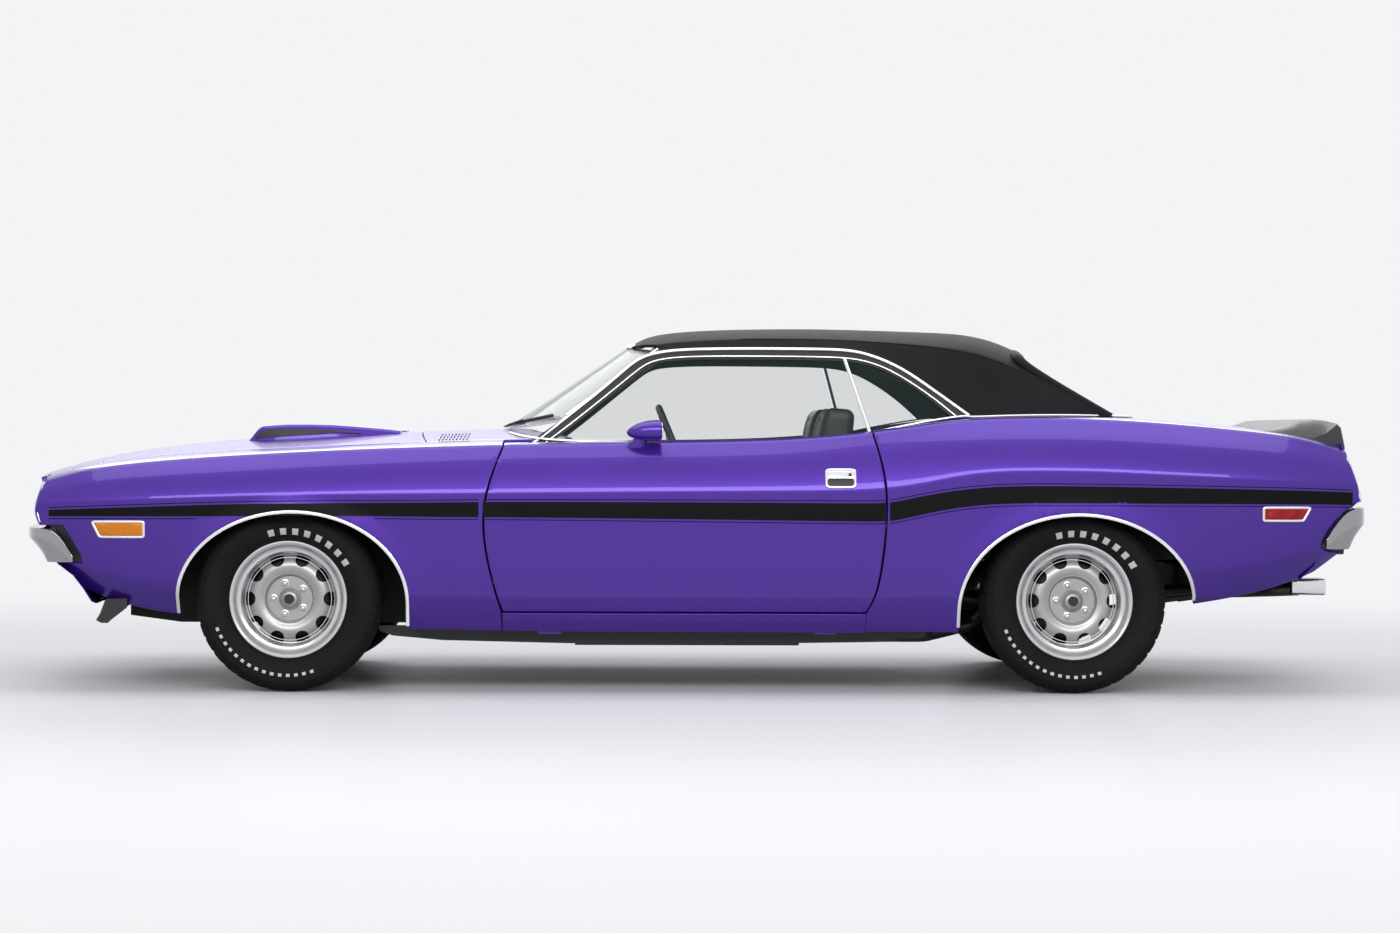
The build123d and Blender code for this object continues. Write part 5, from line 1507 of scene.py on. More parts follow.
# Nose: a painted header ahead of the hood, the capped ends of the fenders, and a valance below.
# x, y along the nose's leading edge, from its middle outwards
NOSE_FRONT = [
    (-2.385, 0.0), (-2.383, 0.2), (-2.370, 0.40), (-2.357, 0.57), (-2.338, 0.74), (-2.330, 0.80),
    (-2.320, 0.87)
]
header = body_sheet("nose_header", -2.419, -2.20, -EDGE - 0.1, EDGE + 0.1, 0.012)
header_side = [(x, y - gap / 2 - 0.0005) for x, y in lid_edge if -2.335 < x < -2.235]
trim(
    header,
    both_sides(
        NOSE_FRONT[:5] + header_side
        + [(x, min(y, 0.708)) for x, y in shifted(HOOD_FRONT, -gap / 2 - edge)[::-1]]
    ),
    "above",
)
hem(header, depth=0.026)
fit(header, paint, "body_paint", "root", "nose_panel")
nose_edge = along(
    [
        (-2.314, 0.800, 0.752), (-2.324, 0.838, 0.715), (-2.337, 0.866, 0.660), (-2.335, 0.870, 0.625),
        (-2.322, 0.868, 0.594)
    ],
    20
)
nose_edge[:, 1] *= -1
cap_grid = np.stack([
    nose_edge + (0.002, 0.004, 0), nose_edge + (-0.004, 0.012, -0.001), nose_edge + (-0.004, 0.050, 0.0),
    nose_edge + (0.002, 0.056, 0),
    nose_edge + (0.080, 0.060, 0), nose_edge + (0.080, 0.054, 0), nose_edge + (0.010, 0.048, 0),
    nose_edge + (0.006, 0.010, 0),
], axis=1)
right_too(loft("nose_cap_left", cap_grid), paint, "body_paint", "root")
# y, z of the nose's mouth, from the middle of its top to the middle of its bottom
liner_half = [
    (0.0, 0.752), (0.30, 0.750), (0.55, 0.742), (0.72, 0.730), (0.795, 0.700), (0.812, 0.65),
    (0.812, 0.598), (0.60, 0.588), (0.0, 0.588)
]
liner_ring = liner_half + [(-y, z) for y, z in liner_half[-2:0:-1]]


def nose_x_at(y):
    """The x of the nose's front line at a distance from the centre."""
    return float(np.interp(abs(y), [row[1] for row in NOSE_FRONT], [row[0] for row in NOSE_FRONT]))


back_plate = loft("grille_back", [[(x, y, z) for y, z in liner_ring] for x in (-2.252, -2.246)])
fit(back_plate, rubber, "satin_black", "root")
wall_rings = []
for ring_grow, depth in ((1.0, 0.012), (1.0, None), (1.012, None), (1.012, 0.012)):
    wall_rings.append([
        (
            (nose_x_at(y) + depth) if depth else -2.252, y * ring_grow,
            0.665 + (z - 0.665) * (1 + (ring_grow - 1) * 4)
        )
        for y, z in liner_ring
    ])
mouth_wall = sheet("grille_surround", closed_round(np.array(wall_rings + wall_rings[:1])))
fit(soften(welded(mouth_wall, dissolve=False)), rubber, "satin_black", "root")


def panel_strip(name, rows, thickness=0.003, columns=33):
    """A cross panel from rows of x at the centre, x at the side, side y and z."""
    across = np.linspace(-1, 1, columns)
    grid = np.array([[(mid + (side - mid) * s * s, y * s, z) for s in across] for mid, side, y, z in rows])
    back = grid + (thickness if rows[0][0] < 0 else -thickness, 0, 0)
    return loft(name, np.concatenate([grid, back[:, ::-1]], axis=1))


valance = panel_strip("front_valance", [
    (-2.285, -2.262, 0.862, 0.457), (-2.262, -2.236, 0.860, 0.436), (-2.232, -2.204, 0.856, 0.411),
    (-2.196, -2.170, 0.848, 0.365), (-2.165, -2.142, 0.842, 0.319), (-2.140, -2.126, 0.838, 0.312),
])
fit(valance, paint, "body_paint", "root")

# Grille and lamps: a black egg-crate in a bright frame, between two pairs of round lamps.
lamp_ys, lamp_z, lamp_x = (0.560, 0.725), 0.662, -2.297
grille_half, grille_low, grille_high, grille_x = 0.470, 0.592, 0.740, -2.290
bars_found = []


def grille_bar(size, place):
    bpy.ops.mesh.primitive_cube_add(size=1, location=place)
    made = bpy.context.object
    made.scale = size
    bpy.ops.object.transform_apply(location=True, rotation=True, scale=True)
    bars_found.append(made)


for y in np.linspace(-grille_half, grille_half, 29):
    grille_bar(
        (0.022, 0.003, grille_high - grille_low), (grille_x + 0.012, y, (grille_low + grille_high) / 2)
    )
for z in np.linspace(grille_low + 0.024, grille_high - 0.024, 5):
    grille_bar((0.026, 2 * grille_half, 0.003), (grille_x + 0.012, 0, z))
grille = joined(bars_found)
grille.name = grille.data.name = "grille_crate"
chamfer = grille.modifiers.new("chamfer", "BEVEL")
chamfer.width, chamfer.segments = 0.0007, 1
bpy.ops.object.modifier_apply(modifier="chamfer")
fit(grille, rubber, "satin_black", "root", "grille")
frame_half = [
    (0.0, grille_high), (0.44, grille_high), (0.468, grille_high), (0.474, grille_high - 0.008),
    (0.474, 0.66), (0.474, grille_low + 0.008), (0.468, grille_low), (0.44, grille_low), (0.0, grille_low)
]
frame_ring = frame_half + [(-y, z) for y, z in frame_half[-2::-1]]
frame_path = along([(grille_x - 0.002, y, z) for y, z in frame_ring], 160)
fit(moulding("grille_frame", frame_path, (-1, 0, 0), 0.008, 0.008), bright, "bright_metal", "root")

lens_glass = Finish(
    "lamp_glass", Base_Color=(0.80, 0.83, 0.85), Roughness=0.04, Coat_Weight=1.0, Coat_Roughness=0.02,
    Alpha=0.5
)
fluting = (lens_glass.place("Y") * 900.0).wave().size()
lens_glass.set("Roughness", 0.04 + 0.08 * fluting)
lens_glass.bump(fluting, 0.5, 0.0015)
BEZEL = [
    (0.0595, 0.012), (0.0600, 0.002), (0.0625, -0.004), (0.0665, -0.0065), (0.0710, -0.005),
    (0.0745, 0.000), (0.0755, 0.008), (0.0755, 0.030), (0.0725, 0.030), (0.0720, 0.010), (0.0690, 0.004),
    (0.0640, 0.006), (0.0625, 0.014),
]
LENS = [
    (0.0, -0.010), (0.015, -0.0092), (0.030, -0.0066), (0.045, -0.0020), (0.055, 0.0035), (0.0605, 0.0085),
    (0.0605, 0.0125), (0.0, 0.0125)
]
BOWL = [
    (0.0600, 0.0130), (0.056, 0.026), (0.045, 0.042), (0.030, 0.052), (0.012, 0.056), (0.0, 0.0565),
    (0.0, 0.0590), (0.012, 0.0585), (0.031, 0.0545), (0.0475, 0.044), (0.059, 0.027), (0.0625, 0.0130)
]
for k, y in enumerate(lamp_ys):
    for label, profile, finish, slot_name in (
        ("bezel", BEZEL, bright, "bright_metal"), ("lens", LENS, lens_glass, "lamp_clear"),
        ("bowl", BOWL, bright, "bright_metal"),
    ):
        part = turned(f"headlamp_{label}_{k}", profile, 64)
        part.data.transform(
            Matrix.Translation((lamp_x, y, lamp_z)) @ Matrix.Rotation(math.radians(-90), 4, "Z")
        )
        nodes = ("headlamps",) if (label, k) == ("lens", 0) else ()
        name = f"headlamp_{label}_{k}_right"
        twin = opposite(part, name.replace("right", "left"))
        part.name = part.data.name = name
        fit(part, finish, slot_name, "root", *nodes)
        fit(twin, finish, slot_name, "root")

# Tail: a painted back panel with two wide red lamps in bright frames and a black panel between them.
tail_rows = [
    (2.336, 2.318, 0.786, 0.893), (2.338, 2.322, 0.802, 0.862), (2.342, 2.327, 0.822, 0.838),
    (2.360, 2.347, 0.858, 0.765), (2.376, 2.364, 0.880, 0.693), (2.352, 2.338, 0.884, 0.672),
    (2.330, 2.306, 0.882, 0.655), (2.290, 2.262, 0.872, 0.590), (2.262, 2.236, 0.862, 0.530),
    (2.262, 2.238, 0.858, 0.508), (2.224, 2.205, 0.848, 0.455), (2.170, 2.160, 0.838, 0.410),
]
tail_back = panel_strip("tail_back", tail_rows)
fit(tail_back, paint, "body_paint", "root", "tail_panel")


def tail_point(y, z, out):
    """A point on the tail's rear face at y and z, lifted out from it."""
    depths = [-row[3] for row in tail_rows]
    mid, side, width = (np.interp(-z, depths, [row[k] for row in tail_rows]) for k in range(3))
    return (float(mid + (side - mid) * (y / width) ** 2) + out, y, z)


lamp_red = Finish(
    "lamp_red", Base_Color=(0.42, 0.004, 0.006), Roughness=0.12, Specular_IOR_Level=0.25, Coat_Weight=0.2
)
cells_y = (lamp_red.place("Y") * 420.0).wave().size()
cells_z = (lamp_red.place("Z") * 420.0).wave().size()
lamp_red.set("Base Color", lamp_red.blend(cells_y * cells_z, (0.30, 0.002, 0.004), (0.64, 0.006, 0.009)))
lamp_red.bump(cells_y * cells_z, 0.5, 0.0015)
lamp_amber = Finish(
    "lamp_amber", Base_Color=(0.86, 0.24, 0.01), Roughness=0.12, Specular_IOR_Level=0.25, Coat_Weight=0.2
)
amber_cells = (lamp_amber.place("X") * 700.0).wave().size()
lamp_amber.set("Base Color", lamp_amber.blend(amber_cells, (0.80, 0.19, 0.006), (0.96, 0.33, 0.012)))
lamp_amber.bump(amber_cells, 0.4, 0.001)
lamp_low, lamp_high, lamp_in, lamp_out = 0.712, 0.818, 0.265, 0.800


def swell(y, z, y_in, y_out):
    """How far a tail lens stands out at a place on it."""
    across = 1 - abs(2 * (y - y_in) / (y_out - y_in) - 1) ** 6
    upwards = 1 - abs(2 * (z - lamp_low) / (lamp_high - lamp_low) - 1) ** 6
    return 0.004 + 0.006 * across * upwards


for k, (y_in, y_out) in enumerate(((0.270, 0.440), (0.448, 0.618), (0.626, 0.796))):
    ys, zs = np.linspace(y_in, y_out, 12), np.linspace(lamp_low, lamp_high, 8)
    outer = np.array([[tail_point(y, z, swell(y, z, y_in, y_out)) for z in zs] for y in ys])
    under = np.array([[tail_point(y, z, -0.002) for z in zs] for y in ys])
    lens = loft(f"tail_lens_{k}_right", np.concatenate([outer, under[:, ::-1]], axis=1))
    twin = opposite(lens, f"tail_lens_{k}_left")
    fit(lens, lamp_red, "lamp_red", "root", *(("tail_lamps",) if k == 0 else ()))
    fit(twin, lamp_red, "lamp_red", "root")


def framed(name, corners, at, width, height, out, count=90):
    """A closed bead round a shape, with tight corners."""
    ring_points = []
    for (a, b), (c, d) in zip(corners, corners[1:] + corners[:1]):
        ring_points += [(a + (c - a) * s, b + (d - b) * s) for s in (0.03, 0.25, 0.5, 0.75, 0.97)]
    ring_points = ring_points[2:] + ring_points[:3]
    path = along([at(u, v) for u, v in ring_points], count)
    return moulding(name, path, out, width, height)


tail_frame = framed(
    "tail_lamp_frame_left",
    [
        (-lamp_in, lamp_low - 0.006), (-lamp_out, lamp_low - 0.006), (-lamp_out, lamp_high + 0.006),
        (-lamp_in, lamp_high + 0.006)
    ],
    lambda y, z: tail_point(y, z, 0.003), 0.010, 0.010, (1, 0, 0.2), 140,
)
right_too(tail_frame, bright, "bright_metal", "root")
ys, zs = np.linspace(-0.248, 0.248, 15), np.linspace(lamp_low, lamp_high, 6)
outer = np.array([[tail_point(y, z, 0.0035) for z in zs] for y in ys])
under = np.array([[tail_point(y, z, -0.001) for z in zs[::-1]] for y in ys])
centre_panel = loft("tail_centre_panel", np.concatenate([outer, under], axis=1))
fit(centre_panel, rubber, "satin_black", "root")

# Side markers: amber at the front and red at the rear, each in a bright bezel on the body side.
MARKERS = [
    (
        "front", [(-2.128, 0.597), (-1.952, 0.598), (-1.952, 0.555), (-2.101, 0.555)], lamp_amber,
        "lamp_amber"
    ),
    ("rear", [(2.014, 0.661), (2.176, 0.661), (2.150, 0.626), (2.014, 0.626)], lamp_red, "lamp_red"),
]
for end, corners, finish, slot_name in MARKERS:
    middle = np.mean(corners, axis=0)
    face_rings = []
    for grow, out in ((1.0, -0.001), (1.0, 0.005), (0.94, 0.0065), (0.5, 0.0068)):
        ring_points = []
        for (a, b), (c, d) in zip(corners, corners[1:] + corners[:1]):
            ring_points += [(a + (c - a) * s, b + (d - b) * s) for s in (0.04, 0.35, 0.65, 0.96)]
        at = [middle + (np.array(point) - middle) * grow for point in ring_points]
        face_rings.append([(x, skin_y(x, z) - out, z) for x, z in at])
    lens = loft(f"marker_lens_{end}_left", face_rings)
    right_too(lens, finish, slot_name, "root", *(("marker_lamps",) if end == "front" else ()))
    grown_corners = [
        (x + math.copysign(0.0045, x - middle[0]), z + math.copysign(0.0055, z - middle[1]))
        for x, z in corners
    ]
    bezel = framed(
        f"marker_bezel_{end}_left", grown_corners, lambda x, z: (x, skin_y(x, z) - 0.003, z), 0.011, 0.009,
        (0, -1, 0)
    )
    right_too(bezel, bright, "bright_metal", "root")

# Door hardware: a bullet mirror on the door's front corner, and a push-button handle with a lock.
MIRROR = [
    (-0.247, 0.003, 0.925), (-0.243, 0.012, 0.925), (-0.233, 0.021, 0.926), (-0.215, 0.031, 0.928),
    (-0.190, 0.039, 0.930), (-0.160, 0.0425, 0.932), (-0.136, 0.0430, 0.932), (-0.128, 0.0420, 0.932),
    (-0.126, 0.0400, 0.932),
]
mirror_y = 0.866
turns = np.arange(28) * 2 * math.pi / 28


def mirror_ring(x, r, z):
    """One oval section of the mirror, whose face is turned a little towards the driver."""
    return [
        (x + 0.12 * r * math.cos(t), -mirror_y - 1.02 * r * math.cos(t), z + 0.86 * r * math.sin(t))
        for t in turns
    ]


mirror_rings = [mirror_ring(*row) for row in MIRROR]
right_too(
    loft("mirror_shell_left", mirror_rings, angle=50), paint, "body_paint", "door_left", "mirror_left"
)
mirror_glass = Finish("mirror_glass", Metallic=1.0, Base_Color=(0.82, 0.84, 0.86), Roughness=0.03)
mirror_glass.set("Roughness", 0.02 + 0.02 * mirror_glass.noise(30))
glass_rings = [
    mirror_ring(x, r, 0.932) for x, r in ((-0.1275, 0.0385), (-0.1245, 0.0385), (-0.1240, 0.036))
]
right_too(loft("mirror_face_left", glass_rings), mirror_glass, "bright_metal", "door_left")
stalk_rings = []
for share in np.linspace(0, 1, 8):
    x, y, z = -0.222 + 0.03 * share, 0.845 + 0.018 * share, 0.868 + 0.038 * share
    half_x, half_y = 0.046 - 0.024 * share**0.6, 0.017 - 0.007 * share
    stalk_rings.append([(x + half_x * math.cos(t), -y - half_y * math.sin(t), z) for t in turns])
right_too(loft("mirror_stalk_left", stalk_rings, angle=50), paint, "body_paint", "door_left")

handle_x, handle_z, handle_half, handle_tall = 0.509, 0.766, 0.055, 0.0345


def rounded(x, z, half, tall, out, corner=0.3, count=40):
    """A ring on the body side, as a rectangle with rounded corners lifted by out."""
    ring = []
    for t in np.arange(count) * 2 * math.pi / count:
        c, s = math.cos(t), math.sin(t)
        at_x = x + half * np.sign(c) * abs(c) ** corner
        at_z = z + tall * np.sign(s) * abs(s) ** corner
        ring.append((at_x, skin_y(at_x, at_z) - out, at_z))
    return ring


# share of the plate's size, inset, lift
PLATE = [
    (1, 0, -0.001), (1, 0, 0.004), (1, 0.002, 0.0065), (1, 0.0055, 0.0065), (1, 0.0075, 0.001),
    (0.5, 0, 0.0005),
]
plate_rings = [
    rounded(handle_x, handle_z, handle_half * grow - inset, handle_tall * grow - inset, out)
    for grow, inset, out in PLATE
]
right_too(loft("handle_plate_left", plate_rings), bright, "bright_metal", "door_left")
# piece, how far it sits from the plate's middle, half length, half height, lift, finish
HANDLE_PARTS = [
    ("well", 0.0, -0.0140, 0.0465, 0.0125, 0.0030, rubber, "satin_black"),
    ("paddle", -0.0145, 0.0125, 0.0310, 0.0130, 0.0090, bright, "bright_metal"),
    ("button", 0.0325, 0.0125, 0.0135, 0.0130, 0.0090, bright, "bright_metal"),
    ("lock", 0.0325, 0.0125, 0.0055, 0.0055, 0.0110, iron, "wheel_paint"),
]
for label, dx, dz, half, tall, lift, finish, slot_name in HANDLE_PARTS:
    rings = [
        rounded(handle_x + dx, handle_z + dz, half - inset, tall - inset, out)
        for inset, out in ((0, 0.0005), (0, lift - 0.0015), (0.0015, lift), (0.004, lift + 0.0003))
    ]
    right_too(loft(f"handle_{label}_left", rings), finish, slot_name, "door_left")

# Bumper recesses: black fillers behind the notches that the bumpers stand in, and bright
# edgings down the corners of the nose and the tail.
for end, xs, low, high in (
    ("front", (-2.262, -2.225, -2.19, -2.15), 0.446, 0.596),
    ("rear", (2.19, 2.23, 2.27, 2.322), 0.498, 0.672)
):
    filler_rings = []
    for x in xs:
        ring = [(x, 0.60, low), (x, -skin_y(x, low + 0.01) - 0.014, low)]
        ring += [
            (x, -skin_y(x, (low + high) / 2) - 0.014, (low + high) / 2),
            (x, -skin_y(x, high) - 0.014, high), (x, 0.60, high)
        ]
        filler_rings.append([(px, -py, pz) for px, py, pz in ring])
    right_too(loft(f"bumper_recess_{end}_left", filler_rings), rubber, "satin_black", "root")
EDGINGS = [
    ("tail", [(2.327, 0.842), (2.347, 0.766), (2.366, 0.694)]),
    ("nose", [(-2.312, 0.740), (-2.336, 0.645), (-2.322, 0.600)])
]
for end, corner_line in EDGINGS:
    edge_path = along([(x, skin_y(x, z) + 0.001, z) for x, z in corner_line], 30)
    edging = moulding(f"{end}_edging_left", edge_path, (0, -1, 0), 0.011, 0.009)
    right_too(edging, bright, "bright_metal", "root")

# Rear spoiler: a moulded wing across the decklid, on two short feet, in satin black.
WING_MIDDLE = [
    (2.125, 0.936), (2.155, 0.950), (2.185, 0.968), (2.212, 0.979), (2.260, 0.983), (2.310, 0.978),
    (2.345, 0.968), (2.358, 0.950), (2.364, 0.920), (2.345, 0.908), (2.290, 0.914), (2.220, 0.922),
    (2.160, 0.930),
]
WING_END = [
    (1.990, 0.942), (2.050, 0.937), (2.110, 0.930), (2.170, 0.921), (2.230, 0.914), (2.275, 0.932),
    (2.312, 0.962), (2.326, 0.952), (2.343, 0.872), (2.325, 0.870), (2.270, 0.888), (2.170, 0.912),
    (2.060, 0.932),
]
wing_half, wing_turn = 0.715, 0.20
wing_rings = []
wing_ys = [
    *np.linspace(-wing_half, wing_turn - wing_half, 12), *np.linspace(-0.46, 0.46, 13),
    *np.linspace(wing_half - wing_turn, wing_half, 12),
]
for y in wing_ys:
    share = min(1.0, max(0.0, (abs(y) - wing_half + wing_turn) / wing_turn))
    share = share**1.8
    wing_rings.append([
        (x + (end_x - x) * share, y, z + (end_z - z) * share)
        for (x, z), (end_x, end_z) in zip(WING_MIDDLE, WING_END)
    ])
spoiler_grey = Finish("spoiler_black", Base_Color=(0.022, 0.022, 0.024), Roughness=0.42)
spoiler_grey.set("Roughness", 0.36 + 0.14 * spoiler_grey.noise(30, detail=3))
spoiler_grey.bump(spoiler_grey.noise(700, detail=1), 0.12, 0.0004)
wing = loft("spoiler_wing", wing_rings, angle=28)
fit(wing, spoiler_grey, "satin_black", "decklid", "rear_spoiler")
for k, y in enumerate((-0.5, 0.5)):
    foot_rings = [
        [(2.20 + sx * half_x, y + sy * 0.035, z) for sx, sy in ((-1, -1), (1, -1), (1, 1), (-1, 1))]
        for z, half_x in ((0.918, 0.09), (0.942, 0.07))
    ]
    fit(loft(f"spoiler_foot_{k}", foot_rings), spoiler_grey, "satin_black", "decklid")

# Wipers: two black arms that lie at the foot of the windscreen.
for side, sign in (("left", -1), ("right", 1)):
    blade = [
        windscreen_at(sign * s, r) for s, r in ((0.10, 0.010), (0.35, 0.014), (0.60, 0.018), (0.86, 0.020))
    ]
    blade = along(np.array(blade) + (-0.006, 0, 0.007), 16)
    fit(
        moulding(f"wiper_blade_{side}", blade, (-0.5, 0, 0.85), 0.010, 0.012, 6), rubber, "satin_black",
        "root"
    )
    arm = [
        windscreen_at(sign * s, r)
        for s, r in ((0.20, -0.035), (0.28, -0.012), (0.40, 0.008), (0.50, 0.018))
    ]
    arm = along(np.array(arm) + (-0.009, 0, 0.012), 14)
    fit(moulding(f"wiper_arm_{side}", arm, (-0.5, 0, 0.85), 0.009, 0.006, 6), rubber, "satin_black", "root")

# Seats: two front buckets and a rear bench in stitched black vinyl, padded over foam, each with
# a sewn, pleated middle between plain bolsters.
seat_vinyl = Finish("seat_vinyl", Base_Color=(0.018, 0.019, 0.020), Roughness=0.45)
seat_grain = seat_vinyl.noise(620, detail=3)
seat_vinyl.set(
    "Base Color",
    seat_vinyl.blend(seat_vinyl.noise(5, detail=2), (0.014, 0.015, 0.016), (0.026, 0.028, 0.029))
)
seat_vinyl.set("Roughness", 0.38 + 0.16 * seat_grain)
seat_vinyl.bump(seat_grain, 0.4, 0.0008)


side_seam, end_seam, seam_depth, pleat_height = 0.62, 0.86, 0.007, 0.006


def cushion(name, low, high, lean, pleats, crown=0.022, steps=44, rolled=0.34):
    """A crowned pad between two corners, whose sewn pleats run along it, leaned about the y axis."""
    middle, half = (np.array(low) + high) / 2, (np.array(high) - low) / 2
    bpy.ops.object.select_all(action="DESELECT")
    bpy.ops.mesh.primitive_cube_add(size=2)
    piece = bpy.context.object
    piece.name = piece.data.name = name
    bpy.ops.object.mode_set(mode="EDIT")
    bpy.ops.mesh.subdivide(number_cuts=steps)
    bpy.ops.object.mode_set(mode="OBJECT")
    flat = np.empty(len(piece.data.vertices) * 3)
    piece.data.vertices.foreach_get("co", flat)
    unit = flat.reshape(-1, 3)
    # a box whose edges are rounded by an even radius
    radius = rolled * half.min()
    core = np.clip(unit * half, -(half - radius), half - radius)
    reach = unit * half - core
    length = np.linalg.norm(reach, axis=1, keepdims=True)
    largest = np.abs(reach).max(axis=1, keepdims=True)
    points = core + np.where(length > 1e-9, reach / np.maximum(length, 1e-9) * largest, 0)
    u, v, w = (points / half).T
    # the sides pull in between the corners, and the sat-on face is crowned
    points[:, 0] *= 1 - 0.02 * (1 - v**2)
    points[:, 1] *= 1 - 0.02 * (1 - u**2)
    face = np.clip(w, 0, 1) ** 2
    points[:, 2] += crown * (1 - u**4) * (1 - v**4) * face - crown * 0.6 * face
    bolster = np.clip((np.abs(v) - side_seam) / 0.2, 0, 1)
    points[:, 2] += 0.014 * np.sin(bolster * math.pi * 0.5) ** 2 * face * (1 - u**6)
    between = np.abs(v) < side_seam
    seam = np.exp(-(((np.abs(v) - side_seam) / 0.022) ** 2))
    seam = seam + np.exp(-(((np.abs(u) - end_seam) / 0.025) ** 2)) * between
    points[:, 2] -= seam_depth * seam * face
    pleat = np.abs(np.sin(v / side_seam * pleats * math.pi / 2))
    points[:, 2] += pleat_height * (pleat**0.6 - 0.7) * face * between * (np.abs(u) < end_seam)
    turn = math.radians(lean)
    x, z = points[:, 0].copy(), points[:, 2].copy()
    points[:, 0] = x * math.cos(turn) + z * math.sin(turn)
    points[:, 2] = -x * math.sin(turn) + z * math.cos(turn)
    piece.data.vertices.foreach_set("co", (points + middle).ravel())
    piece.data.uv_layers.remove(piece.data.uv_layers[0])
    piece.data.update()
    return soften(piece, 60)


# each cushion: its lowest and highest corner before it leans, its lean in degrees, its pleats
for side, y in (("left", -0.37), ("right", 0.37)):
    base = cushion(f"seat_cushion_{side}", (0.010, y - 0.228, 0.345), (0.470, y + 0.228, 0.500), 5, 7)
    fit(base, seat_vinyl, "cabin_trim", "root", *(("front_seats",) if side == "left" else ()))
    backrest = cushion(
        f"seat_back_{side}", (0.200, y - 0.228, 0.660), (0.800, y + 0.228, 0.775), -85, 7, rolled=0.55
    )
    fit(backrest, seat_vinyl, "cabin_trim", "root")
    for k, offset in enumerate((-0.18, 0.18)):
        rail_rings = [
            [
                (x, y + offset + dy, z)
                for dy, z in ((-0.015, 0.238), (0.015, 0.238), (0.012, 0.345), (-0.012, 0.345))
            ]
            for x in (0.06, 0.08, 0.45, 0.47)
        ]
        fit(loft(f"seat_rail_{side}_{k}", rail_rings), iron, "underbody", "root")
bench_base = cushion("bench_cushion", (0.745, -0.585, 0.484), (1.045, 0.585, 0.572), 3, 15)
fit(bench_base, seat_vinyl, "cabin_trim", "root", "rear_seat")
bench_back = cushion("bench_back", (0.905, -0.556, 0.688), (1.335, 0.556, 0.768), -66, 15, rolled=0.6)
fit(bench_back, seat_vinyl, "cabin_trim", "root")

# Dashboard and steering: a padded moulding with a hooded cluster, a three-spoke wheel and its column.
dash_plastic = Finish("dash_plastic", Base_Color=(0.016, 0.017, 0.018), Roughness=0.5)
dash_grain = dash_plastic.noise(500, detail=3)
dash_plastic.set("Roughness", 0.42 + 0.16 * dash_grain)
dash_plastic.bump(dash_grain, 0.35, 0.0008)
DASH = [
    (-0.62, 0.62), (-0.635, 0.74), (-0.625, 0.832), (-0.56, 0.846), (-0.45, 0.853), (-0.35, 0.856),
    (-0.318, 0.846), (-0.306, 0.815), (-0.322, 0.775), (-0.335, 0.70), (-0.328, 0.665), (-0.345, 0.645),
    (-0.48, 0.615)
]
dash_rings = []
for y in np.linspace(-0.70, 0.70, 43):
    hood_share = math.exp(-(((y + 0.37) / 0.19) ** 6))
    crown = 1 - (y / 0.75) ** 6 * 0.06
    dash_rings.append(
        [
            (x + (0.018 * hood_share if x > -0.4 and z > 0.79 else 0), y, 0.73 + (z - 0.73) * crown)
            for x, z in DASH
        ]
    )
fit(loft("dash_moulding", dash_rings, angle=50), dash_plastic, "cabin_plastic", "root", "dashboard")
for k, (y, r) in enumerate(((-0.50, 0.030), (-0.42, 0.045), (-0.32, 0.045), (-0.24, 0.030))):
    dial = turned(
        f"dial_{k}",
        [
            (0.0, -0.002), (r * 0.85, -0.002), (r * 0.9, -0.006), (r, -0.006), (r * 1.03, 0.010),
            (0.0, 0.010)
        ],
        40
    )
    dial.data.transform(Matrix.Translation((-0.324, y, 0.752)) @ Matrix.Rotation(math.radians(90), 4, "Z"))
    fit(dial, bright, "bright_metal", "root")

wheel_hub = Vector((-0.060, -0.37, 0.845))
rake = math.radians(68)
grip_turns, grip_round = 72, 14
rim_radius, grip_radius, grip_notch = 0.185, 0.0125, 0.0012
rim_grid = []
for a in np.arange(grip_turns + 1) * 2 * math.pi / grip_turns:
    ring = []
    for b in np.arange(grip_round) * 2 * math.pi / grip_round:
        out = rim_radius + grip_radius * math.cos(b)
        notch = grip_notch * (math.cos(24 * a) * (math.sin(b) < 0))
        ring.append((out * math.cos(a), out * math.sin(a), grip_radius * math.sin(b) + notch))
    rim_grid.append(ring)
rim = loft("steering_rim", rim_grid, capped=False, angle=60)
spokes = []
for k, turn in enumerate((-90, 30, 150)):
    a = math.radians(turn)
    rings = []
    for share in np.linspace(0, 1, 6):
        r, w = 0.03 + 0.150 * share, 0.020 - 0.006 * share
        drop = -0.024 * (1 - share) ** 1.5
        rings.append(
            [
                (r * math.cos(a) - s * w * math.sin(a), r * math.sin(a) + s * w * math.cos(a), drop + t)
                for s, t in ((-1, -0.002), (1, -0.002), (0.8, 0.003), (-0.8, 0.003))
            ]
        )
    spokes.append(loft(f"steering_spoke_{k}", rings))
hub = turned(
    "steering_hub",
    [
        (0.0, -0.004), (0.030, -0.002), (0.042, 0.006), (0.046, 0.020), (0.046, 0.034), (0.022, 0.040),
        (0.020, 0.17), (0.0, 0.17)
    ],
    48
)
hub.data.transform(Matrix.Rotation(math.radians(-90), 4, "X"))
seat_of_wheel = Matrix.Translation(wheel_hub) @ Matrix.Rotation(rake, 4, "Y")
steering_parts = [(rim, dash_plastic, "cabin_plastic"), (hub, dash_plastic, "cabin_plastic")]
steering_parts += [(spoke, wheel_silver, "bright_metal") for spoke in spokes]
for piece, finish, slot_name in steering_parts:
    piece.data.transform(seat_of_wheel)
    fit(piece, finish, slot_name, "root", *(("steering_wheel",) if piece is rim else ()))

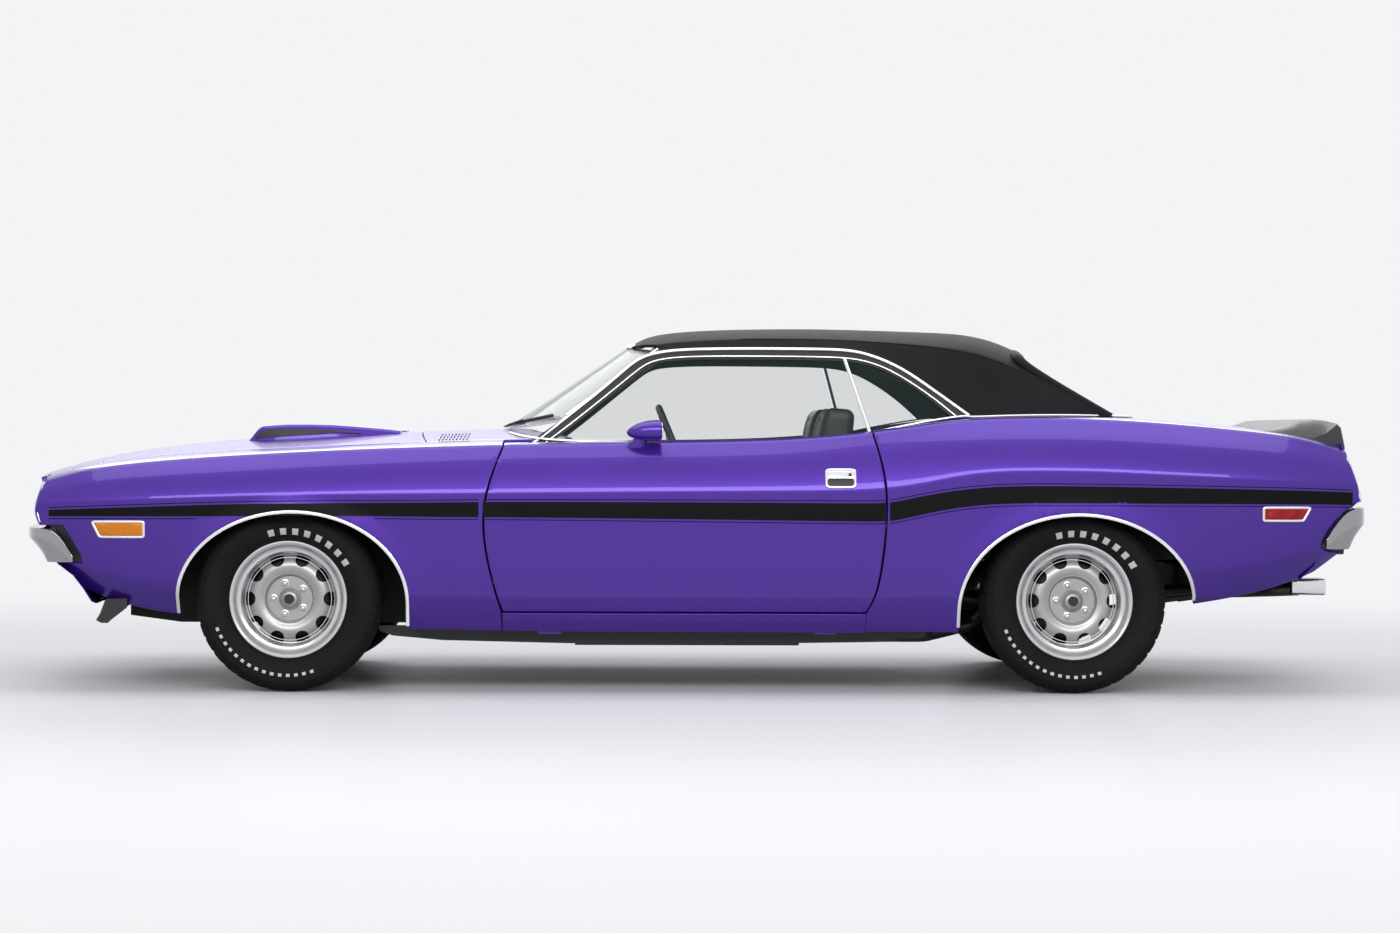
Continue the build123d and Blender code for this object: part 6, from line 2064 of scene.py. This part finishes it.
# Shelf, firewall and headlining: plain trimmed panels that close the cabin.
SHELF = [(1.20, 0.928), (1.50, 0.957), (1.66, 0.962), (1.66, 0.952), (1.50, 0.945), (1.20, 0.918)]
shelf = loft("parcel_shelf", [[(x, y, z) for x, z in SHELF] for y in np.linspace(-0.56, 0.56, 9)])
fit(shelf, trim_cloth, "cabin_trim", "root")
FIREWALL = [
    (-0.752, 0.240), (-0.752, 0.855), (-0.742, 0.862), (-0.640, 0.862), (-0.640, 0.852),
    (-0.740, 0.850), (-0.740, 0.240),
]
firewall = loft("firewall", [[(x, y, z) for x, z in FIREWALL] for y in np.linspace(-0.70, 0.70, 15)])
fit(firewall, paint, "body_paint", "root")
lining_lines = np.linspace(-6.2, 6.2, 41)
headlining = roof_skin(stretch(-0.12, 1.05, 0.05), lining_lines, 0.020)
fit(pane("headlining", headlining, 0.004), trim_cloth, "cabin_trim", "root")

# Tank, exhaust tips and sill rails: what shows below the body's lower edge.
tank_rings = []
TANK = [
    (1.785, 0.315), (1.800, 0.305), (2.060, 0.342), (2.092, 0.352), (2.100, 0.372), (2.100, 0.440),
    (2.088, 0.452), (1.797, 0.452), (1.785, 0.440)
]
for y in (-0.400, -0.394, *np.linspace(-0.38, 0.38, 9), 0.394, 0.400):
    inset = 0.012 * max(0.0, (abs(y) - 0.38) / 0.02) ** 2
    tank_rings.append(
        [(x + math.copysign(inset, 1.94 - x), y, z + math.copysign(inset, 0.385 - z)) for x, z in TANK]
    )
fit(loft("tank_shell", tank_rings, angle=40), iron, "underbody", "root", "fuel_tank")
for side, y in (("left", -0.6), ("right", 0.6)):
    tip_rings = []
    for x, grow in (
        (2.168, 0.0), (2.168, 0.0015), (2.285, 0.0035), (2.289, 0.0015), (2.287, -0.006), (2.20, -0.008)
    ):
        ring = []
        for t in np.arange(36) * math.pi / 18:
            c, s = math.cos(t), math.sin(t)
            ring.append(
                (
                    x, y + (0.052 + grow) * np.sign(c) * abs(c) ** 0.35,
                    0.374 + (0.028 + grow) * np.sign(s) * abs(s) ** 0.35
                )
            )
        tip_rings.append(ring)
    fit(loft(f"exhaust_tip_{side}", tip_rings), bright, "bright_metal", "root")
RAIL = [
    (-1.13, 0.214, 0.232), (-1.08, 0.196, 0.232), (-0.90, 0.180, 0.230), (-0.45, 0.170, 0.230),
    (0.35, 0.172, 0.230), (0.70, 0.178, 0.230), (0.80, 0.205, 0.230)
]
for side, sign in (("left", -1), ("right", 1)):
    rail_rings = [
        [(x, sign * y, z) for y, z in ((0.742, low), (0.766, low), (0.770, high), (0.738, high))]
        for x, low, high in RAIL
    ]
    fit(loft(f"sill_rail_{side}", rail_rings), rubber, "satin_black", "root")

# Chin spoilers: two moulded black lips below the valance, swept back at their outer ends.
CHIN = [
    (-2.152, 0.252), (-2.140, 0.272), (-2.118, 0.328), (-2.044, 0.330), (-2.044, 0.298), (-2.100, 0.254),
    (-2.112, 0.243), (-2.135, 0.243)
]
for side, sign in (("left", -1), ("right", 1)):
    chin_rings = []
    for y in np.linspace(0.53, 0.85, 9):
        back = 0.030 * ((y - 0.53) / 0.32) ** 2
        chin_rings.append([(x + back, sign * y, z) for x, z in CHIN])
    chin = loft(f"chin_spoiler_{side}", chin_rings)
    fit(chin, rubber, "satin_black", "root", *(("chin_spoilers",) if side == "left" else ()))

# Underseal: the thick, rough black coat on the floor, the wheelhouses and the hidden steel.
underseal = Finish("underseal", Base_Color=(0.016, 0.016, 0.017), Roughness=0.7)
seal_grain = underseal.noise(180, detail=4)
underseal.set(
    "Base Color",
    underseal.blend(underseal.noise(5, detail=4), (0.011, 0.011, 0.012), (0.028, 0.026, 0.025))
)
underseal.set("Roughness", 0.6 + 0.25 * seal_grain)
underseal.bump(seal_grain, 0.5, 0.002)

# Radiator support: a deep cross member, a thin plate over it and the two posts the hood rests on.
support_x, support_low, support_mid, support_high = -2.120, 0.345, 0.530, 0.770
member_heights = (support_low, 0.40, 0.46, support_mid)
member_rings = []
for x in (support_x, support_x + 0.060):
    ring = [(x, skin_y(x, z) + 0.020, z) for z in member_heights]
    member_rings.append(ring + [(px, -py, pz) for px, py, pz in ring[::-1]])
fit(loft("radiator_member", member_rings), underseal, "underbody", "root", "radiator_support")
plate_half = 0.755
plate_corners = [
    (-plate_half, support_mid), (plate_half, support_mid), (plate_half, support_high),
    (-plate_half, support_high),
]
plate_rings = [[(x, y, z) for y, z in plate_corners] for x in (support_x, support_x + 0.003)]
fit(loft("radiator_plate", plate_rings), underseal, "underbody", "root")
for k, y in enumerate((-0.5, 0.5)):
    post_rings = [
        [
            (support_x + 0.006 + 0.012 * math.cos(t), y + 0.012 * math.sin(t), z)
            for t in np.arange(16) * math.pi / 8
        ]
        for z in (0.765, top_z(support_x, 0.5) - 0.028)
    ]
    fit(loft(f"hood_post_{k}", post_rings), underseal, "underbody", "root")

# Engine: a V block in orange enamel with black rocker covers, a wide air cleaner, pulleys in
# front and the gearbox behind.
engine_red = Finish("engine_enamel", Base_Color=(0.30, 0.05, 0.01), Roughness=0.4)
engine_red.set(
    "Base Color",
    engine_red.blend(engine_red.noise(8, detail=4), (0.20, 0.030, 0.008), (0.36, 0.062, 0.014))
)
engine_red.bump(engine_red.noise(120, detail=3), 0.3, 0.001)
ENGINE = [
    (-0.115, 0.252), (0.115, 0.252), (0.150, 0.430), (0.262, 0.575), (0.200, 0.668), (-0.200, 0.668),
    (-0.262, 0.575), (-0.150, 0.430)
]
engine_rings = []
for x, grow in ((-1.655, 0.93), (-1.645, 1.0), (-1.06, 1.0), (-1.035, 0.86)):
    engine_rings.append([(x, y * grow, 0.46 + (z - 0.46) * grow) for y, z in ENGINE])
fit(loft("engine_block", engine_rings), engine_red, "engine_paint", "root", "engine")
inlet_rings = [
    [(x, y, z) for y, z in ((-0.13, 0.66), (0.13, 0.66), (0.09, 0.722), (-0.09, 0.722))]
    for x in (-1.56, -1.54, -1.18, -1.16)
]
fit(loft("engine_inlet", inlet_rings), iron, "underbody", "root")
for side, sign in (("left", -1), ("right", 1)):
    cover_rings = []
    for x, grow in ((-1.625, 0.90), (-1.615, 1.0), (-1.105, 1.0), (-1.095, 0.90)):
        ring = []
        for across, up in (
            (-0.062, 0.0), (0.062, 0.0), (0.058, 0.045), (0.040, 0.060), (-0.040, 0.060), (-0.058, 0.045)
        ):
            lean, across, up = math.radians(38), across * grow, up * grow
            ring.append(
                (
                    x, sign * (0.222 + across * math.cos(lean) + up * math.sin(lean) * 0.6) * 0.9,
                    0.632 - across * math.sin(lean) + up * math.cos(lean) + 0.01
                )
            )
        cover_rings.append(ring)
    fit(loft(f"rocker_cover_{side}", cover_rings), rubber, "underbody", "root")
    mount_rings = [
        [(x, sign * y, z) for y, z in ((0.14, 0.335), (0.395, 0.342), (0.395, 0.378), (0.14, 0.395))]
        for x in (-1.398, -1.322)
    ]
    fit(loft(f"engine_mount_{side}", mount_rings), iron, "underbody", "root")
upright = Matrix.Translation((-1.36, 0, 0.80)) @ Matrix.Rotation(math.radians(-90), 4, "X")
CLEANER = [
    (0.0, 0.0), (0.020, 0.0), (0.022, 0.006), (0.150, 0.008), (0.190, 0.014), (0.200, 0.022),
    (0.201, 0.034), (0.193, 0.036), (0.193, 0.058), (0.201, 0.060), (0.198, 0.072), (0.060, 0.080),
    (0.0, 0.080)
]
cleaner = turned("air_cleaner", CLEANER, 72)
cleaner.data.transform(upright)
fit(cleaner, rubber, "underbody", "root")
cleaner_lid = turned(
    "air_cleaner_lid", [(0.024, 0.003), (0.150, 0.0055), (0.186, 0.011), (0.186, 0.016), (0.024, 0.010)], 72
)
cleaner_lid.data.transform(upright)
fit(cleaner_lid, bright, "bright_metal", "root")
forward = Matrix.Rotation(math.radians(-90), 4, "Z")
for label, y, z, r, x in (
    ("crank", 0.0, 0.36, 0.085, -1.684), ("water", 0.0, 0.53, 0.070, -1.686),
    ("side", 0.15, 0.60, 0.050, -1.684)
):
    pulley = turned(
        f"pulley_{label}",
        [
            (0.0, 0.0), (r * 0.4, 0.002), (r, 0.003), (r, 0.008), (r * 0.86, 0.013), (r, 0.018), (r, 0.024),
            (r * 0.4, 0.030), (0.0, 0.030)
        ],
        48
    )
    pulley.data.transform(Matrix.Translation((x, y, z)) @ forward)
    fit(pulley, iron, "underbody", "root")
GEARBOX = [(-1.04, 1.0), (-0.98, 0.98), (-0.86, 0.80), (-0.62, 0.72), (-0.46, 0.62), (-0.42, 0.50)]
gearbox_rings = [
    [
        (x, 0.100 * grow * math.cos(t), 0.266 + 0.062 * grow * math.sin(t))
        for t in np.arange(24) * math.pi / 12
    ]
    for x, grow in GEARBOX
]
fit(loft("gearbox", gearbox_rings), iron, "underbody", "root")

# Underbody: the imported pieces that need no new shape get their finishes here.
steel = Finish("exhaust_steel", Metallic=0.8, Roughness=0.5)
heat = steel.noise(6, detail=4)
steel.set("Base Color", steel.blend(heat, (0.030, 0.029, 0.028), (0.075, 0.072, 0.070)))
steel.set("Roughness", 0.28 + 0.25 * steel.noise(30, detail=3))
steel.bump(steel.noise(400, detail=2), 0.1, 0.0005)
CARRIED = {
    "floor_pan": underseal, "trunk_floor": underseal, "inner_fender_left": underseal,
    "inner_fender_right": underseal,
    "front_suspension": iron, "rear_axle": iron, "knuckle_left": iron, "knuckle_right": iron,
    "exhaust": steel, "sills": paint,
}
for node, finish in CARRIED.items():
    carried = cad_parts[node]
    for slot_index in range(len(carried.material_slots)):
        carried.material_slots[slot_index].material = finish.material
